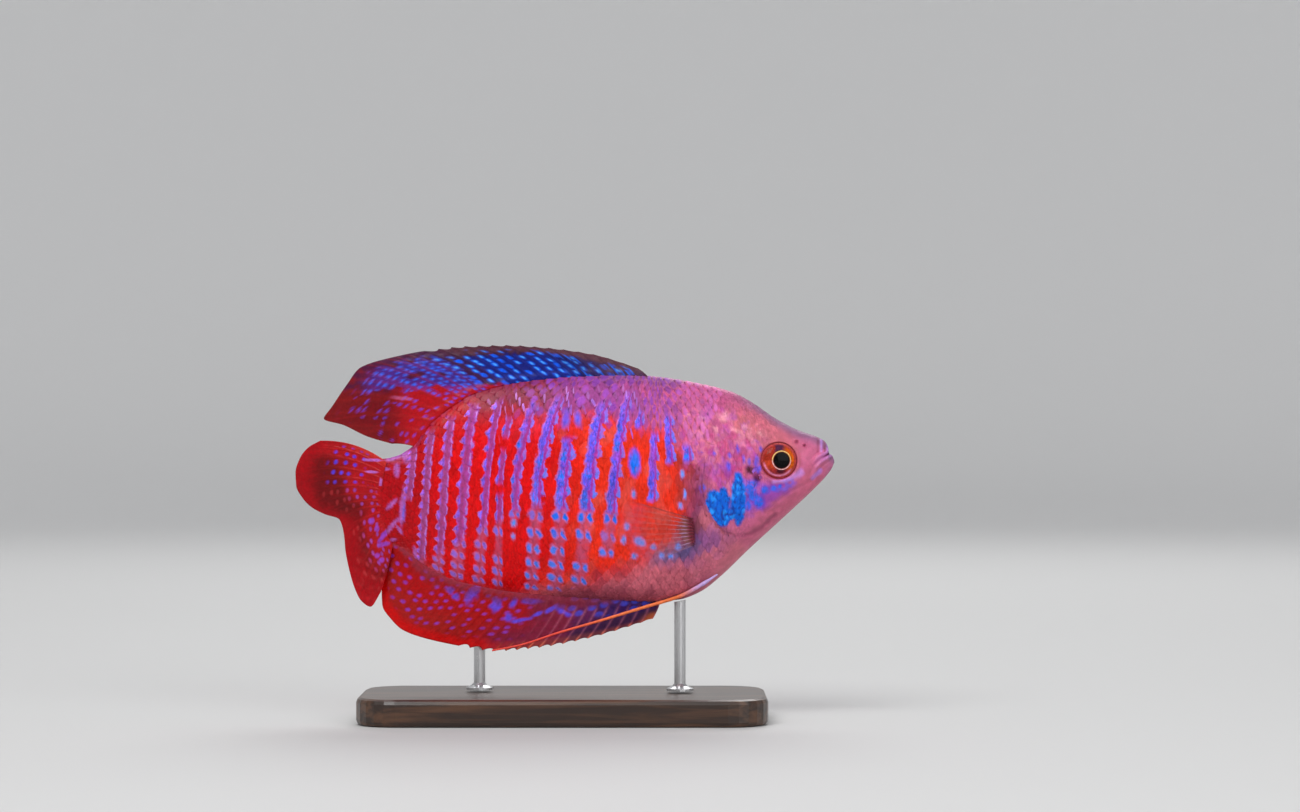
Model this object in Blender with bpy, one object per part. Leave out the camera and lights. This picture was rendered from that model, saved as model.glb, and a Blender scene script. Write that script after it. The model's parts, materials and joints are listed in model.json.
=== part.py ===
"""Dwarf gourami male, a still life-size model on a plain display stand.

The fish swims with its nose towards +X, its right side towards -Y and +Z up.
Lengths in this file are millimetres until a mesh is made. The origin is on the floor under the middle
of the model. The flesh is a height field: half_width(x, z) says how far the skin lies from the fish's
middle plane, and sway(x) says how far that plane bends to the left towards the tail.
"""

import math

import bmesh
import bpy
import numpy as np

MM = 0.001
GAP = 0.3  # kept between neighbouring pieces

# The body's outline seen from the side, as (x, z)
BACK_POINTS = [
    (-27.6, 38.3), (-25.0, 38.8), (-22.7, 40.0), (-19.7, 43.8), (-16.8, 46.2), (-13.0, 48.4), (-6.4, 50.0),
    (2.0, 50.8), (9.0, 50.95), (14.3, 50.6), (20.2, 49.6), (24.6, 48.5), (27.6, 47.0), (31.0, 44.7),
    (34.9, 42.7), (37.2, 41.9), (38.5, 41.2), (39.05, 40.4), (39.2, 39.4), (39.7, 39.0), (40.0, 38.3),
]
BELLY_POINTS = [
    (-27.6, 26.2), (-24.7, 25.6), (-21.9, 23.6), (-19.0, 21.7), (-15.3, 20.2), (-6.4, 18.6), (5.4, 17.8),
    (13.0, 17.5), (17.2, 17.8), (20.2, 18.9), (23.1, 21.1), (27.6, 25.4), (33.5, 30.8), (37.9, 35.0),
    (39.5, 36.9), (40.0, 38.0),
]
# The height at which each section is widest, and the half width there
WIDEST_POINTS = [(-27.6, 32.2), (-10.0, 33.8), (5.0, 34.5), (20.0, 34.5), (27.0, 35.0), (33.0, 36.8),
                 (37.0, 38.0), (40.0, 38.15)]
WIDTH_POINTS = [
    (-27.6, 0.85), (-24.0, 1.3), (-20.0, 1.95), (-16.0, 2.6), (-11.0, 3.3), (-6.0, 3.95), (-1.0, 4.55),
    (5.0, 5.0), (11.0, 5.25), (16.0, 5.3), (20.5, 5.2), (24.0, 5.1), (28.0, 4.7), (32.0, 3.95), (34.5, 3.2),
    (37.0, 2.3), (38.4, 1.85), (39.2, 1.4), (39.7, 1.0), (40.0, 0.6),
]
# How full a section is above and below its widest level: a low power is a round, full one
UPPER_POWER_POINTS = [(-27.6, 0.85), (-5.0, 0.74), (15.0, 0.66), (30.0, 0.58), (40.0, 0.5)]
LOWER_POWER_POINTS = [(-27.6, 0.85), (-5.0, 0.8), (8.0, 0.58), (18.0, 0.5), (28.0, 0.72), (36.0, 0.6),
                      (40.0, 0.5)]
SECTION_POWER = 2.1
EDGE = 0.45  # half the thickness of the keel that carries the fins
LEVEL = 38.15  # a height that every section of the body crosses
BODY_TOP = 60.0  # above the whole fish

# The gill opening, as (z, x), and how far the gill cover's edge stands off the trunk
GILL_POINTS = [(24.0, 28.6), (25.2, 27.4), (27.7, 23.8), (29.9, 21.8), (32.5, 20.6), (35.2, 20.2),
               (38.0, 20.6), (43.0, 21.9), (49.5, 23.8)]
GILL_PROUD = 0.32
GILL_FADE = 2.4
TRUNK_REAR = -18.5
TAIL_END_POINTS = [(25.5, -25.6), (27.5, -26.6), (30.5, -27.2), (34.0, -27.3), (37.0, -26.9), (38.8, -26.4)]
SWAY_POINTS = [(-41.0, 3.3), (-33.0, 1.9), (-27.0, 1.0), (-18.0, 0.25), (-10.0, 0.0), (41.0, 0.0)]

# The mouth's cleft runs back and down from between the lips, and parts the lower jaw off, as (x, z)
CLEFT = [(40.6, 40.3), (39.2, 39.35), (37.9, 38.6), (36.8, 37.5), (36.2, 36.2), (36.5, 34.6), (37.6, 31.5)]
JAW_OUTSIDE = [(44.0, 31.5), (44.0, 40.3)]
LIP_OFF = 0.55
LIP_WIDE = 0.32
LIP_PROUD = 0.26
LIP_END = 35.9  # the lips fade out behind this x

EYE_CENTRE = (31.8, 3.4, 38.3)  # x, distance from the middle plane, z
EYE_RADIUS = 2.7
EYE_DEPTH = 1.35
NOSTRILS = [(35.5, 40.5, 0.26), (34.35, 41.0, 0.32)]  # x, z, radius

# The gill cover's plate seen from the side, as (x, z), and the depth of its seat
GILL_PLATE = [
    (19.0, 40.5), (22.6, 40.9), (25.2, 39.6), (26.8, 36.6), (27.6, 33.0), (28.0, 29.6), (26.6, 27.9),
    (24.3, 28.1), (22.0, 28.9), (19.0, 28.9),
]
GILL_SEAT = 3.3

# Fins: where the root of each ray stands, and where its tip is, both by the ray's number
DORSAL_SPINES, DORSAL_SOFT = 16, 8
DORSAL_ROOTS = [(0, 12.6), (15, -10.5), (23, -22.2)]
DORSAL_TIPS = [
    (0, 11.0, 51.9), (1, 8.8, 52.7), (3, 4.4, 54.0), (6, -2.2, 54.95), (9, -8.5, 55.35), (12, -14.6, 55.2),
    (15, -20.6, 54.5), (17, -25.6, 53.5), (18.5, -30.0, 52.1), (19.5, -32.2, 49.4), (20.5, -34.4, 46.2),
    (21, -35.6, 44.5), (21.7, -32.6, 43.5), (22.4, -29.0, 41.8), (23, -25.4, 40.75),
]
ANAL_SPINES, ANAL_SOFT = 17, 14
ANAL_ROOTS = [(0, 14.4), (16, -8.6), (30, -24.7)]
ANAL_TIPS = [
    (0, 13.2, 14.9), (2, 9.6, 13.7), (5, 3.6, 12.0), (9, -3.6, 10.65), (13, -10.2, 10.1), (16, -15.5, 10.9),
    (20, -20.4, 12.0), (23, -23.7, 13.2), (25, -25.6, 14.9), (26.5, -26.7, 16.9), (27.5, -26.6, 18.9),
    (28.4, -26.2, 20.6), (29.2, -25.8, 22.3), (30, -25.4, 24.1),
]
TAIL_RAYS = 16
TAIL_ROOTS = [(0, 38.0), (15, 25.9)]
TAIL_TIPS = [
    (0, -36.2, 41.2), (1, -38.0, 40.2), (2, -39.3, 38.6), (3, -40.0, 36.4), (4, -39.9, 34.4),
    (5, -39.1, 32.8), (6, -37.7, 31.3), (7, -35.6, 30.2), (8, -33.5, 29.5), (9, -32.7, 27.2),
    (10, -32.4, 24.8), (11, -31.8, 22.2), (12, -31.0, 19.7), (13, -29.9, 17.6), (14, -28.5, 16.7),
    (15, -27.15, 18.7),
]
# How far a ray bows out of its straight line to the rear, as a share of its length
DORSAL_BOW, ANAL_BOW = 0.05, -0.04
TAIL_BOW = [(0, 0.09), (9, 0.09), (12, 0.05), (15, -0.02)]
# The blades wave out of the fish's plane: the dorsal and anal fins as a sine with a height, a turn for each
# ray and a start, and the tail with its middle folded to the left and its lower lobe swung back
DORSAL_WAVE = (0.45, 0.55, 0.0)
ANAL_WAVE = (0.35, 0.45, 1.0)
TAIL_WAVE = [(0, 0.4), (4, 1.2), (7.5, 2.1), (10, 0.5), (13, -1.4), (15, -1.2)]
PECTORAL_RAYS = 10
PECTORAL_ROOT = [(19.1, 29.9), (19.5, 26.1)]
PECTORAL_TIPS = [(0, 9.7, 32.7), (2, 8.3, 30.8), (4, 7.9, 28.6), (6, 8.8, 26.4), (8, 10.9, 24.3),
                 (9, 12.8, 23.4)]
PECTORAL_LIFT = [(0.0, 0.0), (0.1, 0.05), (0.25, 0.75), (0.6, 1.5), (1.0, 2.3)]

MEMBRANE = 0.26  # half the thickness of a fin between its rays
RIDGE = 0.17  # how far a ray stands off each face
RIM = 0.14  # half the thickness at a fin's margin
RAY_HALF = 0.2  # half a ray's width, in steps from ray to ray
NOTCH = 0.06  # how far the membrane falls back between two spines
FIN_ROWS = 5
PAD = 0.25  # how much thicker a pectoral fin is at its root

# The thread-like pelvic fins lie back along the belly, as (x, z) along the thread
FEELER_POINTS = [(22.7, 21.6), (20.2, 20.0), (17.0, 18.3), (11.3, 16.5), (5.4, 14.7), (-0.5, 13.0),
                 (-6.4, 11.1), (-10.5, 10.3)]
FEELER_ROOT_RADIUS = 0.36
FEELER_TIP_RADIUS = 0.16
FEELER_SIDES = 6
FEELER_RINGS = 26
FEELER_OFF_FIN = 1.35  # beside the anal fin, from the middle plane
LEFT_FEELER_RISE = 1.1

BASE_LENGTH, BASE_WIDTH, BASE_HEIGHT = 60.0, 28.0, 4.0
BASE_BEVEL = 0.7
CORNER_RADIUS = 6.0
ROD_RADIUS = 0.85
FOOT_RADIUS, FOOT_HEIGHT = 2.0, 0.7
NECK = 0.35  # the fillet between a rod and its foot
# Each rod's x, its distance to the left of the middle plane, and the height it may reach
RODS = {"front": (17.2, 0.0, 21.0), "rear": (-12.5, 2.15, 24.5)}

BODY_COLOUR = (0.62, 0.09, 0.12)
HEAD_COLOUR = (0.62, 0.30, 0.36)
CHEEK_COLOUR = (0.10, 0.36, 0.78)
DORSAL_COLOUR = (0.16, 0.24, 0.66)
FIN_COLOUR = (0.60, 0.07, 0.08)
CLEAR_FIN_COLOUR = (0.74, 0.48, 0.38)
FEELER_COLOUR = (0.86, 0.36, 0.20)
EYE_COLOUR = (0.03, 0.02, 0.02)
WOOD_COLOUR = (0.13, 0.08, 0.05)
STEEL_COLOUR = (0.62, 0.62, 0.64)


def curve(points):
    """A smooth function through (at, value) points that never overshoots them, level past both ends."""
    at, value = np.array(sorted(points), float).T
    step = np.diff(at)
    slope = np.diff(value) / step
    tangent = np.empty_like(value)
    tangent[0], tangent[-1] = slope[0], slope[-1]
    before, after = slope[:-1], slope[1:]
    turns = before * after <= 0
    safe_before = np.where(turns, 1.0, before)
    safe_after = np.where(turns, 1.0, after)
    near, far = step[:-1] + 2 * step[1:], 2 * step[:-1] + step[1:]
    tangent[1:-1] = np.where(turns, 0.0, (near + far) / (near / safe_after + far / safe_before))

    def function(x):
        x = np.clip(x, at[0], at[-1])
        k = np.clip(np.searchsorted(at, x, side="right") - 1, 0, len(step) - 1)
        t = (x - at[k]) / step[k]
        smooth = t * t * (3 - 2 * t)
        return (value[k] * (1 - smooth) + value[k + 1] * smooth
                + step[k] * t * (1 - t) * ((1 - t) * tangent[k] - t * tangent[k + 1]))

    return function


back_line = curve(BACK_POINTS)
belly_line = curve(BELLY_POINTS)
widest_level = curve(WIDEST_POINTS)
widest_half = curve(WIDTH_POINTS)
upper_power = curve(UPPER_POWER_POINTS)
lower_power = curve(LOWER_POWER_POINTS)
gill_line = curve(GILL_POINTS)
tail_end = curve(TAIL_END_POINTS)
sway = curve(SWAY_POINTS)


def along(points, count):
    """count points evenly spread along a polyline, smoothed, as an array."""
    points = np.array(points, float)
    run = np.concatenate([[0.0], np.cumsum(np.linalg.norm(np.diff(points, axis=0), axis=1))])
    at = np.linspace(0, run[-1], count)
    return np.stack([curve(list(zip(run, column)))(at) for column in points.T], axis=-1)


def distance_to(path, x, z):
    """The distance in the side view from points to a polyline."""
    nearest = np.full(np.shape(x), np.inf)
    for (ax, az), (bx, bz) in zip(path[:-1], path[1:]):
        dx, dz = bx - ax, bz - az
        t = np.clip(((x - ax) * dx + (z - az) * dz) / (dx * dx + dz * dz), 0, 1)
        nearest = np.minimum(nearest, np.hypot(x - ax - t * dx, z - az - t * dz))
    return nearest


def fullness(x, z, out=0.0):
    """1 on the widest level of the section at x, 0 on the outline, which lies further off by out."""
    top, bottom, middle = back_line(x) + out, belly_line(x) - out, widest_level(x)
    rise = np.clip((z - middle) / (top - middle), 0, 1)
    fall = np.clip((middle - z) / (middle - bottom), 0, 1)
    share = 1 - np.maximum(rise, fall) ** SECTION_POWER
    return np.clip(share, 0, 1) ** np.where(z > middle, upper_power(x), lower_power(x))


def half_width(x, z, out=0.0):
    """How far the skin lies from the middle plane at (x, z), with the lips and the gill cover's edge."""
    full = widest_half(x)
    edge = np.minimum(EDGE, 0.8 * full)
    shape = fullness(x, z, out)
    behind_edge = x - gill_line(z)
    cover = GILL_PROUD * np.exp(-np.clip(behind_edge, 0, None) / GILL_FADE) * (behind_edge > -0.1) * shape
    lips = LIP_PROUD * np.exp(-((distance_to(CLEFT[:5], x, z) - LIP_OFF) / LIP_WIDE) ** 2)
    lips = lips * np.clip((x - LIP_END) / 0.8, 0, 1) * np.sqrt(shape)
    return edge + (full - edge) * shape + cover + lips + out


def section_ends(column, out=0.0):
    """The heights at which the line x = column(z) crosses the belly and the back."""
    ends = []
    for line, low, high, side in ((belly_line, 0.0, LEVEL, -out), (back_line, LEVEL, BODY_TOP, out)):
        for _ in range(40):
            middle = (low + high) / 2
            if line(column(middle)) + side > middle:
                low = middle
            else:
                high = middle
        ends.append((low + high) / 2)
    return ends


def material(name, colour, roughness=0.35, metallic=0.0):
    made = bpy.data.materials.new(name)
    made.use_nodes = True
    shader = made.node_tree.nodes["Principled BSDF"]
    shader.inputs["Base Color"].default_value = (*colour, 1.0)
    shader.inputs["Roughness"].default_value = roughness
    shader.inputs["Metallic"].default_value = metallic
    return made


def add_object(name, points, faces, finish):
    """A mesh object from points in millimetres, its faces turned outwards."""
    mesh = bpy.data.meshes.new(name)
    mesh.from_pydata((np.asarray(points) * MM).tolist(), [], faces)
    bm = bmesh.new()
    bm.from_mesh(mesh)
    bmesh.ops.recalc_face_normals(bm, faces=bm.faces)
    bm.to_mesh(mesh)
    bm.free()
    mesh.shade_smooth()
    mesh.set_sharp_from_angle(angle=math.radians(40))
    mesh.materials.append(finish)
    obj = bpy.data.objects.new(name, mesh)
    bpy.context.scene.collection.objects.link(obj)
    return obj


def closed_pair(name, right, left, finish):
    """A solid between two grids of points that match one to one, split into triangles alike."""
    rows, columns = right.shape[:2]
    count = rows * columns
    faces = []
    for i in range(rows - 1):
        for j in range(columns - 1):
            a, b = i * columns + j, (i + 1) * columns + j
            for face in ((a, b, b + 1), (a, b + 1, a + 1)):
                faces.append(face)
                faces.append(tuple(k + count for k in reversed(face)))
    rim = [j for j in range(columns - 1)]
    rim += [i * columns + columns - 1 for i in range(rows - 1)]
    rim += [(rows - 1) * columns + j for j in range(columns - 1, 0, -1)]
    rim += [i * columns for i in range(rows - 1, 0, -1)]
    for p, q in zip(rim, rim[1:] + rim[:1]):
        faces.append((p, q, q + count))
        faces.append((p, q + count, p + count))
    return add_object(name, np.concatenate([right.reshape(-1, 3), left.reshape(-1, 3)]), faces, finish)


def flesh(name, rear, front, steps, heights, finish, out=0.0):
    """A length of the body between two lines x = rear(z) and x = front(z). steps go from 0 to 1."""
    spread = np.sin(np.linspace(-math.pi / 2, math.pi / 2, heights))
    grid = np.empty((len(steps), heights, 2))
    for i, s in enumerate(steps):
        def column(z, s=s):
            return (1 - s) * rear(z) + s * front(z)

        low, high = section_ends(column, out)
        z = (low + high) / 2 + spread * (high - low) / 2
        grid[i, :, 0] = column(z)
        grid[i, :, 1] = z
    x, z = grid[..., 0], grid[..., 1]
    half, plane = half_width(x, z, out), sway(x)
    right = np.stack([x, plane - half, z], axis=-1)
    left = np.stack([x, plane + half, z], axis=-1)
    return closed_pair(name, right, left, finish)


def boolean(obj, operation, *others):
    """Applies a Boolean with each of the other objects, and removes them."""
    for other in others:
        modifier = obj.modifiers.new(operation.lower(), "BOOLEAN")
        modifier.operation = operation
        modifier.object = other
        modifier.solver = "EXACT"
        graph = bpy.context.evaluated_depsgraph_get()
        mesh = bpy.data.meshes.new_from_object(obj.evaluated_get(graph))
        obj.modifiers.clear()
        obj.data = mesh
        mesh.set_sharp_from_angle(angle=math.radians(40))
        bpy.data.objects.remove(other)
    return obj


def prism(outline, near, far, grow=0.0):
    """A solid over an outline in the side view, from y = near to y = far, its outline grown by grow."""
    outline = np.array(outline, float)
    ahead, behind = np.roll(outline, -1, axis=0) - outline, outline - np.roll(outline, 1, axis=0)
    turn = np.sum(outline[:, 0] * np.roll(outline[:, 1], -1) - np.roll(outline[:, 0], -1) * outline[:, 1])
    ahead /= np.linalg.norm(ahead, axis=1, keepdims=True)
    behind /= np.linalg.norm(behind, axis=1, keepdims=True)
    outward = np.stack([ahead[:, 1] + behind[:, 1], -ahead[:, 0] - behind[:, 0]], axis=1) * np.sign(turn)
    outline = outline + grow * outward / np.maximum(np.sum(outward ** 2, axis=1, keepdims=True) / 2, 0.3)
    count = len(outline)
    points = [(x, y, z) for y in (near, far) for x, z in outline]
    faces = [tuple(range(count)), tuple(range(2 * count - 1, count - 1, -1))]
    faces += [(i, (i + 1) % count, (i + 1) % count + count, i + count) for i in range(count)]
    return add_object("cutter", points, faces, material("cutter", (1, 1, 1)))


def ball(name, centre, radii, segments, rings, finish):
    """An ellipsoid whose poles point along Y, with its place in its mesh."""
    mesh = bpy.data.meshes.new(name)
    bm = bmesh.new()
    bmesh.ops.create_uvsphere(bm, u_segments=segments, v_segments=rings, radius=1.0)
    for vertex in bm.verts:
        x, y, z = vertex.co
        vertex.co = [(c + r * v) * MM for c, r, v in zip(centre, radii, (x, z, -y))]
    bmesh.ops.recalc_face_normals(bm, faces=bm.faces)
    bm.to_mesh(mesh)
    bm.free()
    mesh.shade_smooth()
    mesh.materials.append(finish)
    obj = bpy.data.objects.new(name, mesh)
    bpy.context.scene.collection.objects.link(obj)
    return obj


def level(x):
    """A line at one x for every height."""
    return lambda z: np.full(np.shape(z), float(x))


def make_head(skin, cheek, dark):
    """The head with its lips, nostrils, eye sockets and gill covers, and the lower jaw parted off."""
    steps = 1 - (1 - np.linspace(0, 1, 40)) ** 1.5
    head = flesh("head", gill_line, level(39.97), steps, 19, skin)
    jaw_outline = [*along(CLEFT, 16), *JAW_OUTSIDE]
    jaw = head.copy()
    jaw.data = head.data.copy()
    jaw.name = "lower_jaw"
    bpy.context.scene.collection.objects.link(jaw)
    boolean(jaw, "INTERSECT", prism(jaw_outline, -9, 9, -GAP / 2))
    boolean(head, "DIFFERENCE", prism(jaw_outline, -9, 9, GAP / 2))
    for side, name in ((-1, "right"), (1, "left")):
        outer = side * 9.0
        plate = head.copy()
        plate.data = head.data.copy()
        plate.name = "gill_cover_" + name
        bpy.context.scene.collection.objects.link(plate)
        boolean(plate, "INTERSECT", prism(GILL_PLATE, side * (GILL_SEAT + GAP), outer))
        plate.data.materials.clear()
        plate.data.materials.append(cheek)
        boolean(head, "DIFFERENCE", prism(GILL_PLATE, side * GILL_SEAT, outer, GAP))
        x, off, z = EYE_CENTRE
        socket_radii = (EYE_RADIUS + GAP, EYE_DEPTH + GAP, EYE_RADIUS + GAP)
        boolean(head, "DIFFERENCE", ball("cutter", (x, side * off, z), socket_radii, 20, 12, skin))
        ball("eye_" + name, (x, side * off, z), (EYE_RADIUS, EYE_DEPTH, EYE_RADIUS), 20, 12, dark)
        for x, z, radius in NOSTRILS:
            pit = ball("cutter", (x, side * half_width(x, z), z), (radius,) * 3, 8, 6, skin)
            boolean(head, "DIFFERENCE", pit)


def make_trunk(skin):
    """The trunk from the gill opening to the tail stem, and the tail stem to the root of its fin."""
    flesh("trunk", level(TRUNK_REAR), lambda z: gill_line(z) - 1.2 * GAP, np.linspace(0, 1, 27), 19, skin)
    flesh("tail_stem", tail_end, level(TRUNK_REAR - GAP), np.linspace(0, 1, 7), 15, skin)


def ray_columns(spines, soft):
    """Places across a fin, counted in rays, each with 1 on a ray's crest and 0 between rays."""
    columns = []
    for ray in range(spines + soft):
        columns += [(ray - RAY_HALF, 0.0, 0.0), (float(ray), 1.0, 0.0), (ray + RAY_HALF, 0.0, 0.0)]
        if ray < spines - 1:
            columns.append((ray + 0.5, 0.0, 1.0))
    last = spines + soft - 1
    return [column for column in columns if 0.0 <= column[0] <= last]


def fin_grids(columns, root, tip, bow):
    """A fin in the side view: points (x, z) by column and row, their share of the way out, half thickness."""
    flat = np.empty((len(columns), FIN_ROWS + 1, 2))
    out = np.linspace(0, 1, FIN_ROWS + 1)
    half = np.empty((len(columns), FIN_ROWS + 1))
    for i, (at, crest, notch) in enumerate(columns):
        start, end = np.array(root(at), float), np.array(tip(at), float)
        run = end - start
        side = np.array([run[1], -run[0]])
        reach = out * (1 - NOTCH * notch)
        flat[i] = start + np.outer(reach, run) + np.outer(4 * reach * (1 - reach) * bow(at), side)
        web = MEMBRANE + (RIM - MEMBRANE) * np.clip((out - 0.7) / 0.3, 0, 1)
        half[i] = web + RIDGE * crest * np.clip((1 - out) * 4, 0, 1)
    return flat, out, half


def median_fin(name, columns, root, tip, bow, wave, finish):
    """A fin in the fish's middle plane, whose margin waves to the sides."""
    flat, out, half = fin_grids(columns, root, tip, bow)
    x, z = flat[..., 0], flat[..., 1]
    at = np.array([column[0] for column in columns])[:, None]
    plane = sway(x) + wave(at) * out[None, :] ** 1.5
    right = np.stack([x, plane - half, z], axis=-1)
    left = np.stack([x, plane + half, z], axis=-1)
    return closed_pair(name, right, left, finish)


def rooted(line, side, roots):
    """Where ray number u stands: on the back (side 1) or the belly (side -1), GAP clear of it."""
    place = curve(roots)

    def root(u):
        x = float(place(u))
        slope = float(line(x + 0.05) - line(x - 0.05)) / 0.1
        normal = np.array([-slope, 1.0]) * side / math.hypot(slope, 1.0)
        return np.array([x, float(line(x))]) + GAP * normal

    return root


def tips(points):
    """Where ray number u ends."""
    across, up = curve([(u, x) for u, x, _ in points]), curve([(u, z) for u, _, z in points])
    return lambda u: (float(across(u)), float(up(u)))


def waving(height, turn, start):
    """How far a fin's margin lies off the middle plane at ray number u."""
    return lambda u: height * np.sin(u * turn + start)


def make_median_fins(dorsal_finish, finish):
    """The dorsal, anal and tail fins, each with its rays as ridges on a thin membrane."""
    median_fin("dorsal_fin", ray_columns(DORSAL_SPINES, DORSAL_SOFT), rooted(back_line, 1, DORSAL_ROOTS),
               tips(DORSAL_TIPS), lambda u: DORSAL_BOW, waving(*DORSAL_WAVE), dorsal_finish)
    median_fin("anal_fin", ray_columns(ANAL_SPINES, ANAL_SOFT), rooted(belly_line, -1, ANAL_ROOTS),
               tips(ANAL_TIPS), lambda u: ANAL_BOW, waving(*ANAL_WAVE), finish)
    level_of = curve(TAIL_ROOTS)

    def tail_root(u):
        z = float(level_of(u))
        return float(tail_end(z)) - GAP, z

    median_fin("tail_fin", ray_columns(0, TAIL_RAYS), tail_root, tips(TAIL_TIPS), curve(TAIL_BOW),
               curve(TAIL_WAVE), finish)


def make_pectoral(name, side, finish):
    """A pectoral fin: a pad on the flank behind the gill cover, and a fan of rays that lifts off it."""
    (x0, z0), (x1, z1) = PECTORAL_ROOT
    last = PECTORAL_RAYS - 1
    tip = tips(PECTORAL_TIPS)

    def root(u):
        return x0 + (x1 - x0) * u / last, z0 + (z1 - z0) * u / last

    flat, out, half = fin_grids(ray_columns(0, PECTORAL_RAYS), root, tip, lambda u: 0.0)
    x, z = flat[..., 0], flat[..., 1]
    lift = GAP + curve(PECTORAL_LIFT)(out)[None, :]
    inner = half_width(x, z) + lift
    outer = inner + 2 * half + PAD * np.clip(1 - 4 * out, 0, 1)[None, :]
    sheets = [np.stack([x, sway(x) + side * y, z], axis=-1) for y in (outer, inner)]
    return closed_pair(name, *sheets, finish)


def make_feeler(name, side, rise, finish):
    """A pelvic fin, one long thread that tapers from the belly back along the anal fin."""
    path = along(FEELER_POINTS, FEELER_RINGS)
    reach = np.linspace(0, 1, FEELER_RINGS)
    x, z = path[:, 0], path[:, 1] + rise * np.sin(math.pi * reach) ** 2
    radius = FEELER_ROOT_RADIUS + (FEELER_TIP_RADIUS - FEELER_ROOT_RADIUS) * reach
    off_body = half_width(x, np.maximum(z, belly_line(x)), 0.0) * (z > belly_line(x) - 1.0)
    off = np.maximum(off_body + 2 * GAP + radius, FEELER_OFF_FIN)
    kernel = np.array([0.25, 0.5, 0.25])
    for _ in range(6):
        off[1:-1] = np.maximum(np.convolve(off, kernel, mode="valid"), off[1:-1] - 0.02)
    centres = np.stack([x, sway(x) + side * off, z], axis=-1)
    ways = np.gradient(centres, axis=0)
    ways /= np.linalg.norm(ways, axis=1, keepdims=True)
    across = np.cross(ways, [0.0, 1.0, 0.0])
    across /= np.linalg.norm(across, axis=1, keepdims=True)
    up = np.cross(across, ways)
    turns = np.linspace(0, 2 * math.pi, FEELER_SIDES, endpoint=False)
    rings = [centres + radius[:, None] * (math.cos(t) * across + math.sin(t) * up) for t in turns]
    points = np.stack(rings, axis=1).reshape(-1, 3)
    faces = [tuple(range(FEELER_SIDES)), tuple(range(len(points) - FEELER_SIDES, len(points)))]
    for ring in range(FEELER_RINGS - 1):
        for k in range(FEELER_SIDES):
            a, b = ring * FEELER_SIDES + k, ring * FEELER_SIDES + (k + 1) % FEELER_SIDES
            faces.append((a, b, b + FEELER_SIDES, a + FEELER_SIDES))
    return add_object(name, points, faces, finish)


def turned(name, centre, profile, sides, finish):
    """A solid of revolution round a vertical axis, from (radius, z) pairs from the bottom up."""
    points = []
    for radius, z in profile:
        for k in range(sides):
            turn = 2 * math.pi * k / sides
            points.append((centre[0] + radius * math.cos(turn), centre[1] + radius * math.sin(turn), z))
    faces = [tuple(range(sides)), tuple(range(len(points) - sides, len(points)))]
    for ring in range(len(profile) - 1):
        for k in range(sides):
            a, b = ring * sides + k, ring * sides + (k + 1) % sides
            faces.append((a, b, b + sides, a + sides))
    return add_object(name, points, faces, finish)


def make_stand(wood, steel, skin):
    """A flat base with two rods: one to the belly, one past the anal fin to the left flank."""
    corners = []
    for cx, cy, start in ((1, 1, 0), (-1, 1, 90), (-1, -1, 180), (1, -1, 270)):
        for k in range(7):
            turn = math.radians(start + 15 * k)
            corners.append((cx * (BASE_LENGTH / 2 - CORNER_RADIUS) + CORNER_RADIUS * math.cos(turn),
                            cy * (BASE_WIDTH / 2 - CORNER_RADIUS) + CORNER_RADIUS * math.sin(turn)))
    points = [(x, y, z) for z in (0.0, BASE_HEIGHT) for x, y in corners]
    count = len(corners)
    faces = [tuple(range(count)), tuple(range(count, 2 * count))]
    faces += [(i, (i + 1) % count, (i + 1) % count + count, i + count) for i in range(count)]
    base = add_object("stand_base", points, faces, wood)
    bevel = base.modifiers.new("eased edges", "BEVEL")
    bevel.width = BASE_BEVEL * MM
    bevel.segments = 2
    bevel.limit_method = "ANGLE"
    bevel.angle_limit = math.radians(40)
    bottom = BASE_HEIGHT + GAP
    for name, (x, y, top) in RODS.items():
        shoulder = bottom + FOOT_HEIGHT
        profile = [(FOOT_RADIUS, bottom), (FOOT_RADIUS, bottom + FOOT_HEIGHT / 2),
                   (ROD_RADIUS + NECK, shoulder), (ROD_RADIUS, shoulder + NECK), (ROD_RADIUS, top)]
        rod = turned("stand_rod_" + name, (x, y), profile, 16, steel)
        room = flesh("cutter", level(-24.0), level(24.0), np.linspace(0, 1, 30), 21, skin, out=GAP)
        boolean(rod, "DIFFERENCE", room)


def main():
    for obj in list(bpy.data.objects):
        bpy.data.objects.remove(obj)
    skin = material("skin", BODY_COLOUR)
    clear = material("clear_fin", CLEAR_FIN_COLOUR)
    feeler = material("feeler", FEELER_COLOUR)
    eye = material("eye", EYE_COLOUR, 0.08)
    make_head(material("head_skin", HEAD_COLOUR), material("cheek", CHEEK_COLOUR), eye)
    make_trunk(skin)
    make_median_fins(material("dorsal", DORSAL_COLOUR), material("fin", FIN_COLOUR))
    for side, name in ((-1, "right"), (1, "left")):
        make_pectoral("pectoral_fin_" + name, side, clear)
        make_feeler("pelvic_feeler_" + name, side, LEFT_FEELER_RISE * (side > 0), feeler)
    make_stand(material("wood", WOOD_COLOUR, 0.4), material("steel", STEEL_COLOUR, 0.3, 1.0), skin)


main()
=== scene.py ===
"""The looks of the dwarf gourami: one skin with overlapping scales, rayed fins, eyes, and its stand.

Lengths are millimetres until a mesh is made, in the solids' own frame: the nose points to +X, the right
side to -Y and +Z is up. Colours are written as red, green and blue from 0 to 255.
"""

import json
import math
from functools import partial

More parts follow.
